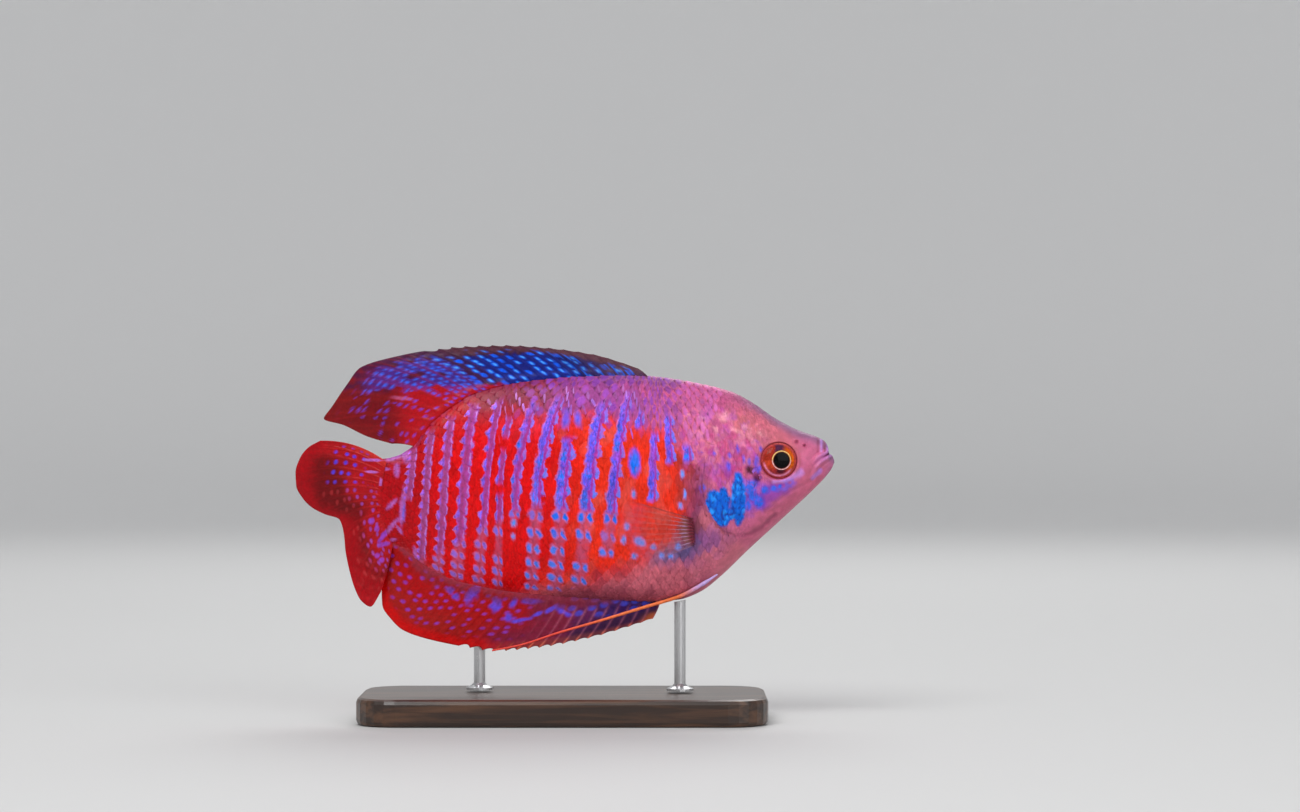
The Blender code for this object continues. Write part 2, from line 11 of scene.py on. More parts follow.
import bpy
import numpy as np
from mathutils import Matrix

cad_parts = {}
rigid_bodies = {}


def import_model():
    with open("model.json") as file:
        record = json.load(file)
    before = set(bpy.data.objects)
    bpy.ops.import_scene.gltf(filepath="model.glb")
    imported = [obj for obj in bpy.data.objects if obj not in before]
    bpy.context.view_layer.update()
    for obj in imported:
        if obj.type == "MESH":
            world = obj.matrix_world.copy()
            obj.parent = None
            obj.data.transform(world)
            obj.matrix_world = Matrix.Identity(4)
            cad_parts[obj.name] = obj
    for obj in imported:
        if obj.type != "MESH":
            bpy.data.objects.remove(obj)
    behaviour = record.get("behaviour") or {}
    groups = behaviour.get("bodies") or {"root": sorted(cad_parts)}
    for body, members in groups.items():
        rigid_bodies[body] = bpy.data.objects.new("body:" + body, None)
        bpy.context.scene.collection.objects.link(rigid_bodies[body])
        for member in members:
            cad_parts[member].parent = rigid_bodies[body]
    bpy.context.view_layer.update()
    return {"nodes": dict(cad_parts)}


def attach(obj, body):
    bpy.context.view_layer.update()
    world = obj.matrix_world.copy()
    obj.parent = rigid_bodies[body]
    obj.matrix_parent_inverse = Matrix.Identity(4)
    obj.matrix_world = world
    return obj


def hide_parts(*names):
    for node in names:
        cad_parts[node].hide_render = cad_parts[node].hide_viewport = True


MM = 0.001

# The photo's scale and framing: its size, and the pixel that stands over the origin
PHOTO_WIDTH, PHOTO_HEIGHT = 1300, 812
MM_PER_PIXEL = 80.0 / 541.5
ORIGIN_PIXEL = (563.5, 719.7)
LENS, SENSOR = 100.0, 36.0

# The body's outline seen from the side, as (x, z), the same as the solids have
BACK_POINTS = [
    (-27.6, 38.3), (-25.0, 38.8), (-22.7, 40.0), (-19.7, 43.8), (-16.8, 46.2), (-13.0, 48.4), (-6.4, 50.0),
    (2.0, 50.8), (9.0, 50.95), (14.3, 50.6), (20.2, 49.6), (24.6, 48.5), (27.6, 47.0), (31.0, 44.7),
    (34.9, 42.7), (37.2, 41.9), (38.5, 41.2), (39.05, 40.4), (39.2, 39.4), (39.7, 39.0), (40.0, 38.3),
]
BELLY_POINTS = [
    (-27.6, 26.2), (-24.7, 25.6), (-21.9, 23.6), (-19.0, 21.7), (-15.3, 20.2), (-6.4, 18.6), (5.4, 17.8),
    (13.0, 17.5), (17.2, 17.8), (20.2, 18.9), (23.1, 21.1), (27.6, 25.4), (33.5, 30.8), (37.9, 35.0),
    (39.5, 36.9), (40.0, 38.0),
]
WIDEST_POINTS = [(-27.6, 32.2), (-10.0, 33.8), (5.0, 34.5), (20.0, 34.5), (27.0, 35.0), (33.0, 36.8),
                 (37.0, 38.0), (40.0, 38.15)]
WIDTH_POINTS = [
    (-27.6, 0.85), (-24.0, 1.3), (-20.0, 1.95), (-16.0, 2.6), (-11.0, 3.3), (-6.0, 3.95), (-1.0, 4.55),
    (5.0, 5.0), (11.0, 5.25), (16.0, 5.3), (20.5, 5.2), (24.0, 5.1), (28.0, 4.7), (32.0, 3.95), (34.5, 3.2),
    (37.0, 2.3), (38.4, 1.85), (39.2, 1.4), (39.7, 1.0), (40.0, 0.6),
]
UPPER_POWER_POINTS = [(-27.6, 0.85), (-5.0, 0.74), (15.0, 0.66), (30.0, 0.58), (40.0, 0.5)]
LOWER_POWER_POINTS = [(-27.6, 0.85), (-5.0, 0.8), (8.0, 0.58), (18.0, 0.5), (28.0, 0.72), (36.0, 0.6),
                      (40.0, 0.5)]
SECTION_POWER = 2.1
EDGE = 0.45
LEVEL = 38.15
BODY_TOP = 60.0
GILL_POINTS = [(24.0, 28.6), (25.2, 27.4), (27.7, 23.8), (29.9, 21.8), (32.5, 20.6), (35.2, 20.2),
               (38.0, 20.6), (43.0, 21.9), (49.5, 23.8)]
GILL_PROUD = 0.32
GILL_FADE = 2.4
GILL_TOP = 41.5
TAIL_END_POINTS = [(25.5, -25.6), (27.5, -26.6), (30.5, -27.2), (34.0, -27.3), (37.0, -26.9), (38.8, -26.4)]
SWAY_POINTS = [(-41.0, 3.3), (-33.0, 1.9), (-27.0, 1.0), (-18.0, 0.25), (-10.0, 0.0), (41.0, 0.0)]
CLEFT = [(40.6, 40.3), (39.2, 39.35), (37.9, 38.6), (36.8, 37.5), (36.2, 36.2)]
LIP_END = 35.9
SNOUT_END = 39.97
EYE_CENTRE = (31.65, 3.4, 38.3)
EYE_RADIUS = 2.66
EYE_DEPTH = 1.35
PUPIL_PLACE = (0.4, 0.1)  # from the middle of the iris
LIP_FOLDS = [([(38.5, 41.1), (38.55, 39.6)], -0.12, 0.13), ([(38.05, 41.3), (38.0, 39.7)], 0.1, 0.2),
             ([(38.95, 40.8), (38.95, 39.9)], 0.09, 0.15), ([(37.6, 41.6), (37.45, 39.6)], -0.06, 0.16),
             ([(36.3, 41.6), (35.2, 39.9), (36.0, 38.6)], -0.05, 0.18)]
THROAT_LINE = [(21.8, 29.8), (22.5, 28.6), (23.7, 27.8), (25.4, 27.3), (27.4, 27.5), (29.2, 28.6),
               (31.2, 30.4)]
# Furrows along the jaw, the throat and the gill cover, each with its height and its width
FACE_LINES = [([(36.4, 35.2), (33.0, 33.6), (30.2, 31.2)], -0.12, 0.28), (THROAT_LINE, -0.16, 0.3),
              ([(27.4, 39.4), (28.0, 36.4), (28.2, 33.0), (29.6, 30.6), (32.0, 31.2)], -0.1, 0.3)]
NOSTRILS = [(35.5, 40.5, 0.2), (34.35, 41.0, 0.26)]

# The scale coat: how deep it is, its rows over the body's height, and its columns, two to each bar
COAT = 0.17
ROWS = 30
ROW_CROWDING = 0.2  # rows stand closer by this share at the back and belly
SCALE_TIP, SCALE_ROOT = 0.62, 1.15  # how far a scale reaches behind and ahead of its place, in columns
SCALE_HALF = 1.2  # half its height, in rows
SCALE_CELLS = 8
FRONT_COLUMN = 22.2  # the coat is made in two pieces to each side, before and behind this column
LEAN_LEVEL = 36.0
# How much the bars lean forwards for each unit of height over and under that level, by x
LEAN_OVER = [(-27.0, 0.06), (-20.0, 0.09), (-14.6, 0.1), (-11.2, 0.12), (-9.3, 0.13), (-6.9, 0.19),
             (-3.6, 0.2), (0.1, 0.135), (3.9, 0.155), (7.7, 0.12), (13.0, 0.03), (15.8, -0.04), (18.4, -0.02),
             (23.0, 0.0), (33.0, 0.05)]
LEAN_UNDER = [(-27.0, 0.08), (-22.6, 0.14), (-20.3, 0.07), (-14.6, 0.08), (-11.2, 0.085), (-9.3, 0.02),
              (-6.9, 0.04), (-3.6, 0.075), (0.1, 0.083), (3.9, 0.105), (7.7, 0.115), (13.0, 0.05),
              (33.0, 0.02)]
BEND_LEVEL, BEND = 41.0, 0.1  # over this level the bars bend forwards, by this much for each squared unit

# Each bar's x at that level, and the lowest and highest z that it is painted at; a bar may be broken
BARS = [
    (-28.6, []),
    (-25.7, []),
    (-22.5, [(32.6, 39.8)]),
    (-20.2, [(22.8, 42.4)]),
    (-17.5, [(21.4, 44.4)]),
    (-14.6, [(20.7, 46.2)]),
    (-11.2, [(20.2, 47.0)]),
    (-9.3, [(19.8, 33.2), (35.0, 39.6), (41.8, 44.4)]),
    (-6.9, [(30.2, 46.4)]),
    (-3.6, [(19.4, 47.6)]),
    (0.1, [(19.4, 41.4)]),
    (3.9, [(19.8, 47.0)]),
    (7.7, [(24.4, 48.0)]),
    (10.6, [(43.2, 45.4)]),
    (13.3, [(32.6, 42.2)]),
    (15.8, [(38.0, 45.0)]),
    (18.4, [(38.2, 40.4)]),
    (20.8, []),
    (23.2, []),
    (25.6, []),
    (28.0, []),
    (30.4, []),
    (32.9, []),
]

RED = (216, 2, 8)
DEEP_RED = (172, 0, 14)
ORANGE = (236, 48, 20)
ROSE = (206, 62, 92)
MAUVE = (170, 70, 122)
MAUVE_FRONT = (188, 90, 146)
MAUVE_CORE = (138, 66, 184)
SHOULDER_CORE = (204, 106, 180)
SHOULDER = (200, 92, 142)
SHOULDER_FOOT = (118, 50, 104)
BELLY = (202, 106, 124)
BELLY_DARK = (116, 36, 62)
BACK_DUSK = (134, 36, 58)
TEAL = (84, 82, 136)
RIBBON_REAR, RIBBON_MID = (166, 76, 150), (170, 66, 168)
RIBBON_FRONT, RIBBON_LOW = (156, 64, 188), (180, 78, 118)
SEAM_PURPLE, SEAM_REAR = (146, 28, 138), (142, 50, 92)
STREAK_VIOLET = (146, 76, 206)
VIVID_REAR, VIVID_MID, VIVID_FRONT = (156, 92, 216), (122, 94, 236), (92, 88, 240)
VIVID_BACK = (128, 88, 206)
BRILLIANT = (20, 116, 246)
TIP_HIGHLIGHT_PINK = (208, 104, 164)
THREAD_VIOLET = (164, 84, 218)
STROKE = (196, 134, 222)
STROKE_FRONT = (142, 108, 238)
STROKE_TIP = (104, 150, 255)
SPOT = (84, 136, 252)
SPOT_REAR = (154, 104, 214)
SPOT_RIM = (190, 104, 172)
# The level below which the bars break up into pairs of spots, by x
PAIRS_TOP = [(-22, 23.0), (-15, 26.5), (-9.4, 29.6), (-4, 31.8), (4, 31.0), (10, 30.6)]
# How deep the back's mauve reaches, and how high the belly's pink, by x
MAUVE_DEPTH = [(-12, 0.0), (-7, 3.2), (-3, 4.6), (3, 5.4), (9, 6.6), (14, 7.2), (17, 9.0), (20, 13.0)]
BELLY_TOP = [(-8, -1.0), (0, 0.8), (6, 3.0), (12, 6.2), (16, 8.6), (20, 12.0)]
HEAD_PINK = (198, 96, 136)
SALMON = (198, 104, 116)
THROAT = (190, 92, 122)
CROWN = (128, 92, 126)
CHEEK_MAGENTA = (158, 54, 152)
COVER_EDGE_AND_HOLLOW_SHADE = (132, 54, 86)
AZURE = (0, 116, 232)
AZURE_DEEP = (0, 78, 196)
AZURE_DARK = (0, 40, 128)
AZURE_LIGHT = (44, 160, 252)
CHEEK_BLUE = (84, 84, 226)
LAVENDER_HIGHLIGHT = (206, 150, 240)
MAROON = (74, 8, 34)
FLANK_CORAL, BACK_CORAL, BACK_WINE, BACK_VIOLET = (222, 92, 84), (216, 84, 92), (150, 22, 60), (134, 58, 158)
# BACK_HIGHLIGHT_PINK is the painted highlight near the tips of the mauve back's scales
BELLY_BLOTCH, COVER_BROWN, BACK_HIGHLIGHT_PINK, HAZE = (124, 44, 70), (150, 44, 44), (224, 132, 170), (118, 72, 142)
GLINT, LOOSE_RIM, LOOSE_BLUE = (255, 176, 186), (206, 120, 176), (92, 150, 252)
STEM_VIOLET, STEM_BLUE = (174, 96, 186), (88, 96, 222)
CHEEK, CHEEK_ROSE, JAW_VIOLET = (178, 76, 140), (200, 62, 116), (136, 58, 170)
EYE_VIOLET, CORNER_HIGHLIGHT = (122, 88, 206), (150, 120, 216)
MOUTH_SLIT_SHADE, SOCKET_ROSE = (104, 26, 58), (172, 66, 78)
CELL_SHADE, CELL_BLUE = (64, 66, 206), (14, 100, 230)
# What the dark specks of the skin, and the painted shade along the scales' rims, multiply their ground by
SPECK_SHADE, RIM_SHADE = (0.45, 0.32, 0.42, 1), (0.36, 0.22, 0.34, 1)
SCATTER, SCATTER_SCALE = (0.9, 0.35, 0.25), 0.7  # how far light spreads under the skin
# How fine the grain of the bars, the scales, the wood and the steel is along x, y and z
THREAD_SCALE, STREAK_SCALE = (4200.0, 4200.0, 1300.0), (3600.0, 3600.0, 900.0)
WOOD_SCALE, STEEL_SCALE = (60.0, 900.0, 900.0), (4000.0, 4000.0, 200.0)

IRIS, IRIS_ORANGE, IRIS_COPPER = (150, 42, 28), (212, 92, 12), (196, 66, 34)
IRIS_RIM, IRIS_LOW, EYE_MARGIN = (160, 42, 44), (150, 38, 46), (178, 70, 70)
EYE_BAR_TOP, EYE_BAR_LOW, EYE_CRESCENT = (62, 32, 66), (52, 14, 34), (236, 140, 180)
PUPIL, PUPIL_SHADE = (3, 2, 4), (96, 34, 22)
PUPIL_RING_TOP, PUPIL_RING_LOW = (250, 206, 128), (248, 190, 190)

# Blots of colour, each (x, z, half length, half height, turn in degrees): single ones first
SHOULDER_BLOT = (22.6, 39.6, 7.6, 6.6, -20)
FIN_SHADE_BLOT = (19.2, 27.9, 1.6, 2.4, 0)
SALMON_BLOT = (29.4, 42.6, 6.0, 3.2, -28)
CHEEK_BLOT = (25.6, 37.8, 4.6, 3.6, 0)
JAW_BLOT = (30.2, 33.5, 4.4, 2.0, 28)
UNDER_EYE_BLOT = (32.3, 34.6, 2.3, 1.0, 24)
HAZE_BLOT = (20.0, 25.8, 5.6, 2.5, 24)
TEAL_BLOT = (16.8, 24.9, 3.8, 1.4, 14)
DORSAL_BLOT = (-23.9, 47.5, 1.8, 0.28, -7)
# The blue patch on the gill cover and the loose cells before it
AZURE_BLOTS = [(22.9, 31.3, 1.75, 2.75, 26), (25.7, 32.7, 1.05, 3.7, 0), (24.3, 31.3, 1.0, 1.9, 0),
               (23.5, 33.5, 0.65, 0.9, 0)]
AZURE_CELLS = [(27.4, 34.4, 1.15, 0.95, 0), (28.7, 32.2, 0.6, 0.9, -10), (27.1, 31.9, 0.6, 1.1, 10),
               (29.6, 34.1, 0.6, 0.5, 0), (27.9, 33.1, 0.7, 0.6, 0), (30.9, 34.3, 0.4, 0.4, 0),
               (20.5, 34.5, 0.3, 0.45, 0), (31.8, 34.6, 0.3, 0.3, 0)]
# The cheek's dark spot and its blue streaks, and the nape's glints
MAROON_BLOTS = [(27.4, 36.9, 0.85, 0.6, -25), (28.5, 35.8, 0.6, 0.65, 20)]
CHEEK_STREAKS = [(24.4, 39.1, 0.26, 0.5, 8), (24.3, 37.5, 0.32, 0.75, 4), (26.5, 38.6, 0.24, 0.75, 6),
                 (27.3, 38.2, 0.2, 0.5, 0), (28.4, 38.3, 0.34, 0.8, -8), (28.7, 37.1, 0.3, 0.6, -20),
                 (25.6, 40.1, 0.16, 0.6, 6), (22.2, 39.4, 0.25, 0.35, 0), (29.0, 40.0, 0.2, 0.45, 0)]
GLINTS = [(23.8, 44.8, 0.85, 0.7, 20), (20.6, 44.5, 0.65, 0.4, -15), (28.8, 42.3, 0.6, 0.4, -30),
          (18.2, 45.3, 0.4, 0.6, 0), (26.6, 43.4, 0.5, 0.4, 0), (25.2, 42.8, 0.9, 0.4, -20),
          (22.4, 43.0, 0.5, 0.5, 0)]
# Loose spots between the last bars and the pectoral fin
LOOSE_SPOTS = [(9.4, 28.7, 0.4, 0.5, 0), (8.9, 26.7, 0.3, 0.5, -8), (11.3, 26.5, 0.75, 0.5, -30),
               (13.3, 25.7, 0.45, 0.4, 0), (10.5, 24.4, 0.4, 0.35, 0), (14.5, 24.5, 0.4, 0.45, 0),
               (16.9, 25.7, 0.5, 0.5, 0), (15.8, 24.4, 0.4, 0.4, 0), (-7.2, 29.2, 0.36, 0.5, -15),
               (-7.3, 27.2, 0.26, 0.4, 0), (6.6, 33.2, 0.3, 0.4, 0), (10.4, 33.5, 0.3, 0.5, 0),
               (17.5, 36.4, 0.25, 0.5, 0), (17.3, 31.8, 0.3, 0.4, 0), (17.9, 33.4, 0.2, 0.6, 0)]
# Bright blots over the top of a broken bar
HIGH_SPOTS = [(0.45, 44.5, 0.5, 1.15, -8), (2.2, 44.5, 0.45, 1.05, 4), (-4.4, 46.3, 0.3, 0.8, 10)]
# Violet strokes on the tail's stem
STEM_BLOTS = [(-25.3, 31.9, 1.0, 0.25, 45), (-25.4, 28.5, 1.35, 0.28, 50), (-24.3, 28.2, 0.8, 0.22, -55),
              (-25.6, 26.5, 0.9, 0.25, 14), (-24.9, 39.0, 1.2, 0.5, 25), (-23.2, 38.9, 0.5, 0.9, 10),
              (-26.4, 37.0, 0.7, 0.2, 0), (-24.6, 36.8, 0.3, 0.8, 0), (-23.7, 31.4, 0.35, 2.4, -4),
              (-21.7, 24.0, 0.25, 1.6, 12)]
STEM_STROKES = [(-23.5, 30.8, 0.22, 1.3, -4)]
# Colours that mottle the shoulder and the cheek, each with its strength
MOTTLES = [((178, 88, 196), 0.6), ((226, 118, 128), 0.45), ((196, 48, 120), 0.5), ((240, 150, 176), 0.4)]
FREE_BLOTS = [(10.5, 38.0, 0.72, 1.8, 0)]  # a bar that shows as one bright blot
UNDER_EYE = [(30.9, 35.2), (32.3, 35.35), (33.8, 35.9), (34.9, 36.6)]
MOUTH_CORNER = [(36.7, 35.7), (37.8, 36.8)]

DORSAL_SPINES, DORSAL_SOFT = 16, 8
DORSAL_ROOTS = [(0, 12.6), (15, -10.5), (23, -22.2)]
DORSAL_TIPS = [
    (0, 11.0, 51.9), (1, 8.8, 52.7), (3, 4.4, 54.0), (6, -2.2, 54.95), (9, -8.5, 55.35), (12, -14.6, 55.2),
    (15, -20.6, 54.5), (17, -25.6, 53.5), (18.5, -30.0, 52.1), (19.5, -32.2, 49.4), (20.5, -34.4, 46.2),
    (21, -35.6, 44.5), (21.7, -32.6, 43.5), (22.4, -29.0, 41.8), (23, -25.4, 40.75),
]
ANAL_SPINES, ANAL_SOFT = 17, 14
ANAL_ROOTS = [(0, 14.4), (16, -8.6), (30, -25.3)]
ANAL_TIPS = [
    (0, 13.2, 14.9), (2, 9.6, 13.7), (5, 3.6, 12.0), (9, -3.6, 10.65), (13, -10.2, 10.1), (16, -15.5, 10.9),
    (20, -20.4, 12.0), (23, -23.7, 13.2), (25, -25.6, 14.9), (26.5, -26.85, 16.9), (27.5, -26.95, 18.9),
    (28.4, -26.75, 20.6), (29.2, -26.5, 22.3), (30, -26.1, 24.1),
]
TAIL_RAYS = 16
TAIL_ROOTS = [(0, 38.0), (15, 25.8)]
TAIL_TIPS = [
    (0, -36.2, 41.2), (1, -38.0, 40.2), (2, -39.3, 38.6), (3, -40.0, 36.4), (4, -39.9, 34.4),
    (5, -39.1, 32.8), (6, -37.7, 31.3), (7, -35.6, 30.2), (8, -33.5, 29.5), (9, -32.7, 27.2),
    (10, -32.4, 24.8), (11, -31.8, 22.2), (12, -31.0, 19.7), (13, -29.9, 17.6), (14, -28.5, 16.7),
    (15, -26.95, 18.9),
]
DORSAL_BOW, ANAL_BOW = 0.05, -0.04
TAIL_BOW = [(0, 0.09), (9, 0.09), (12, 0.05), (15, -0.02)]
TAIL_WAVE = [(0, 0.4), (4, 1.2), (7.5, 2.1), (10, 0.5), (13, -1.4), (15, -1.2)]
PECTORAL_RAYS = 10
PECTORAL_ROOT = [(19.1, 29.9), (19.5, 26.1)]
PECTORAL_TIPS = [(0, 9.7, 32.7), (2, 8.3, 30.8), (4, 7.9, 28.6), (6, 8.8, 26.4), (8, 10.9, 24.3),
                 (9, 12.8, 23.4)]
PECTORAL_LIFT = [(0.0, 0.0), (0.1, 0.05), (0.25, 0.75), (0.6, 1.5), (1.0, 2.3)]
GAP = 0.3
FIN_SINK = 0.5  # how far a fin's root goes into the skin
WEB, RAY = 0.12, 0.075  # half the web's thickness, and how far a ray stands off it
FIN_EDGE = 0.05
NOTCH = 0.05
JOINT = 0.55  # the length of a soft ray's joints

DASH_BLUE = (6, 92, 244)
DASH_LIGHT = (84, 176, 255)
DORSAL_DARK = (44, 12, 58)
DORSAL_NAVY = (10, 28, 124)
DORSAL_BROWN = (88, 50, 62)
DORSAL_RED = (116, 4, 8)
SPOT_VIOLET = (98, 70, 214)
ANAL_RED = (164, 2, 6)
ANAL_MARGIN = (190, 0, 0)
ANAL_PLUM = (112, 22, 54)
ANAL_NIGHT = (42, 22, 92)
SPINE_ORANGE = (226, 112, 52)
SPOT_MAUVE = (138, 58, 190)
BLOB_BLUE = (84, 70, 218)
TAIL_RED = (166, 10, 20)
TAIL_DARK = (100, 2, 8)
TAIL_CRIMSON = (158, 0, 14)
DORSAL_NIGHT, DORSAL_PLUM, DORSAL_FOOT, THREAD_BLUE = (18, 18, 76), (58, 16, 60), (176, 6, 20), (20, 92, 214)
DORSAL_INDIGO, DORSAL_SPARK, DORSAL_STROKE = (62, 40, 150), (40, 98, 232), (196, 96, 150)
SPINE_DARK, DORSAL_RAY = (52, 18, 34), (160, 26, 24)
ANAL_BRICK, ANAL_STREAK, ANAL_DUSK = (150, 26, 22), (60, 70, 206), (58, 20, 48)
ANAL_FOOT, ANAL_EDGE, ANAL_RAY = (134, 44, 64), (70, 34, 60), (206, 110, 140)
TAIL_EDGE, TAIL_SPOT, TAIL_RAY = (214, 60, 50), (86, 60, 214), (205, 40, 46)
TAIL_FLECK, TAIL_FLECK_RED = (150, 70, 172), (190, 54, 58)
TAIL_VIOLET, TAIL_PALE = (140, 66, 196), (178, 104, 200)
PECTORAL_WEB, PECTORAL_RAY, PECTORAL_PALE = (156, 92, 88), (196, 132, 140), (178, 160, 226)
PECTORAL_TIP, PECTORAL_ROOT_SHADE, PECTORAL_EDGE = (186, 96, 160), (112, 30, 50), (96, 40, 44)
FEELER_ROOT, FEELER_ORANGE, FEELER_RED = (186, 158, 216), (236, 120, 70), (232, 74, 62)
WOOD_DARK, WOOD_LIGHT = (44, 29, 21), (84, 55, 36)
# The tones of the steel, the floor and the sky, linear, from 0 to 1
STEEL_DARK, STEEL_LIGHT = (0.42, 0.42, 0.43, 1), (0.66, 0.66, 0.67, 1)
FLOOR_NEAR, FLOOR_FAR = (0.58, 0.58, 0.575, 1), (0.93, 0.93, 0.92, 1)
SKY_TONE, SKY_STRENGTH = (0.94, 0.95, 1.0, 1), 0.42
# Each light's place, power and size, and the place that they all point at
LIGHTS = [("key", (-260, -520, 640), 4.2, 420), ("fill", (420, -520, 260), 1.5, 460),
          ("rim", (60, 460, 520), 1.8, 380)]
LIT_PLACE = (5.0, 0.0, 32.0)

FEELER_POINTS = [(22.7, 21.6), (20.2, 20.0), (17.0, 18.3), (11.3, 16.5), (5.4, 14.7), (-0.5, 13.0),
                 (-6.4, 11.1), (-10.5, 10.3)]
FEELER_ROOT_RADIUS = 0.3
FEELER_TIP_RADIUS = 0.12
FEELER_OFF_FIN = 1.35
LEFT_FEELER_RISE = 1.1


def curve(points):
    """A smooth function through (at, value) points that never overshoots them, level past both ends."""
    at, value = np.array(sorted(points), float).T
    step = np.diff(at)
    slope = np.diff(value) / step
    tangent = np.empty_like(value)
    tangent[0], tangent[-1] = slope[0], slope[-1]
    before, after = slope[:-1], slope[1:]
    turns = before * after <= 0
    safe_before = np.where(turns, 1.0, before)
    safe_after = np.where(turns, 1.0, after)
    near, far = step[:-1] + 2 * step[1:], 2 * step[:-1] + step[1:]
    tangent[1:-1] = np.where(turns, 0.0, (near + far) / (near / safe_after + far / safe_before))

    def function(x):
        x = np.clip(x, at[0], at[-1])
        k = np.clip(np.searchsorted(at, x, side="right") - 1, 0, len(step) - 1)
        t = (x - at[k]) / step[k]
        eased = t * t * (3 - 2 * t)
        return (value[k] * (1 - eased) + value[k + 1] * eased
                + step[k] * t * (1 - t) * ((1 - t) * tangent[k] - t * tangent[k + 1]))

    return function


back_line = curve(BACK_POINTS)
belly_line = curve(BELLY_POINTS)
widest_level = curve(WIDEST_POINTS)
widest_half = curve(WIDTH_POINTS)
upper_power = curve(UPPER_POWER_POINTS)
lower_power = curve(LOWER_POWER_POINTS)
gill_line = curve(GILL_POINTS)
tail_end = curve(TAIL_END_POINTS)
sway = curve(SWAY_POINTS)
column_x = curve([(2.0 * k, x) for k, (x, _) in enumerate(BARS)])
lean_over, lean_under = curve(LEAN_OVER), curve(LEAN_UNDER)
pairs_top, mauve_depth, belly_top = curve(PAIRS_TOP), curve(MAUVE_DEPTH), curve(BELLY_TOP)


def smooth(low, high, value):
    """0 at low, 1 at high and a soft step between them; low may be above high."""
    t = np.clip((value - low) / (high - low), 0, 1)
    return t * t * (3 - 2 * t)


def hashed(*numbers):
    """A repeatable random number from 0 to 1 for each set of whole numbers."""
    total = sum(n * k for n, k in zip(numbers, (12.9898, 78.233, 37.719, 93.989)))
    wave = np.sin(total) * 43758.5453
    return wave - np.floor(wave)


def waver(x, z, size, seed=0):
    """Smooth random values from -1 to 1 that change over about size."""
    gx, gz = np.asarray(x) / size, np.asarray(z) / size
    ix, iz = np.floor(gx), np.floor(gz)
    fx, fz = smooth(0, 1, gx - ix), smooth(0, 1, gz - iz)
    low = hashed(ix, iz, seed) * (1 - fx) + hashed(ix + 1, iz, seed) * fx
    high = hashed(ix, iz + 1, seed) * (1 - fx) + hashed(ix + 1, iz + 1, seed) * fx
    return 2 * (low * (1 - fz) + high * fz) - 1


def cells(x, z, size, seed):
    """Irregular cells about size across: how far points lie inside their cell's edge, and its number."""
    gx, gz = np.asarray(x) / size, np.asarray(z) / size
    ix, iz = np.floor(gx), np.floor(gz)
    nearest, next_nearest = np.full(gx.shape, 9.0), np.full(gx.shape, 9.0)
    number = np.zeros(gx.shape)
    for i in (-1, 0, 1):
        for j in (-1, 0, 1):
            away_x = gx - ix - i - 0.15 - 0.7 * hashed(ix + i, iz + j, seed)
            away_z = gz - iz - j - 0.15 - 0.7 * hashed(ix + i, iz + j, seed + 1)
            away = np.hypot(away_x, away_z)
            closer = away < nearest
            next_nearest = np.where(closer, nearest, np.minimum(next_nearest, away))
            number = np.where(closer, hashed(ix + i, iz + j, seed + 2), number)
            nearest = np.where(closer, away, nearest)
    return (next_nearest - nearest) * size, number


def linear(colour):
    """A written colour as the renderer's linear values."""
    value = np.array(colour, float) / 255
    return np.where(value <= 0.04045, value / 12.92, ((value + 0.055) / 1.055) ** 2.4)


def cover(tint, colour, share):
    """Paints colour over tint, as much as share says at each point."""
    share = np.clip(share, 0, 1)[..., None]
    return tint * (1 - share) + linear(colour) * share


def covers(tint, *layers):
    """Paints layers over tint in their order, each a colour and its share at every point."""
    for colour, share in layers:
        tint = cover(tint, colour, share)
    return tint


def plain(colour, like):
    return np.broadcast_to(linear(colour), (*np.shape(like), 3)).copy()


def in_blot(blot, x, z):
    """The distance from a blot's middle, 1 on its edge."""
    cx, cz, half_length, half_height, turn = blot
    c, s = math.cos(math.radians(turn)), math.sin(math.radians(turn))
    dx, dz = x - cx, z - cz
    return np.hypot((dx * c + dz * s) / half_length, (dz * c - dx * s) / half_height)


def paint_blots(tint, blots, x, z, grain, *layers):
    """Paints blots over tint; a layer is a colour, its strength, and where it starts and is full."""
    for blot in blots:
        away = in_blot(blot, x, z) + grain
        for colour, strength, start, full in layers:
            tint = cover(tint, colour, strength * smooth(start, full, away))
    return tint


def in_nearest(blots, x, z):
    """The distance from the middle of the nearest of some blots, 1 on its edge."""
    return np.min([in_blot(blot, x, z) for blot in blots], axis=0)


def distance_to(path, x, z):
    """The distance in the side view from points to a polyline."""
    nearest = np.full(np.shape(x), np.inf)
    for (ax, az), (bx, bz) in zip(path[:-1], path[1:]):
        dx, dz = bx - ax, bz - az
        t = np.clip(((x - ax) * dx + (z - az) * dz) / (dx * dx + dz * dz), 0, 1)
        nearest = np.minimum(nearest, np.hypot(x - ax - t * dx, z - az - t * dz))
    return nearest


def along(points, count):
    """count points evenly spread along a polyline, smoothed, as an array."""
    points = np.array(points, float)
    run = np.concatenate([[0.0], np.cumsum(np.linalg.norm(np.diff(points, axis=0), axis=1))])
    at = np.linspace(0, run[-1], count)
    return np.stack([curve(list(zip(run, column)))(at) for column in points.T], axis=-1)


def covered(z):
    """1 where the gill cover stands free, 0 above it on the nape and below it on the throat."""
    return smooth(GILL_TOP + 1.6, GILL_TOP - 1.6, z) * smooth(26.6, 28.2, z)


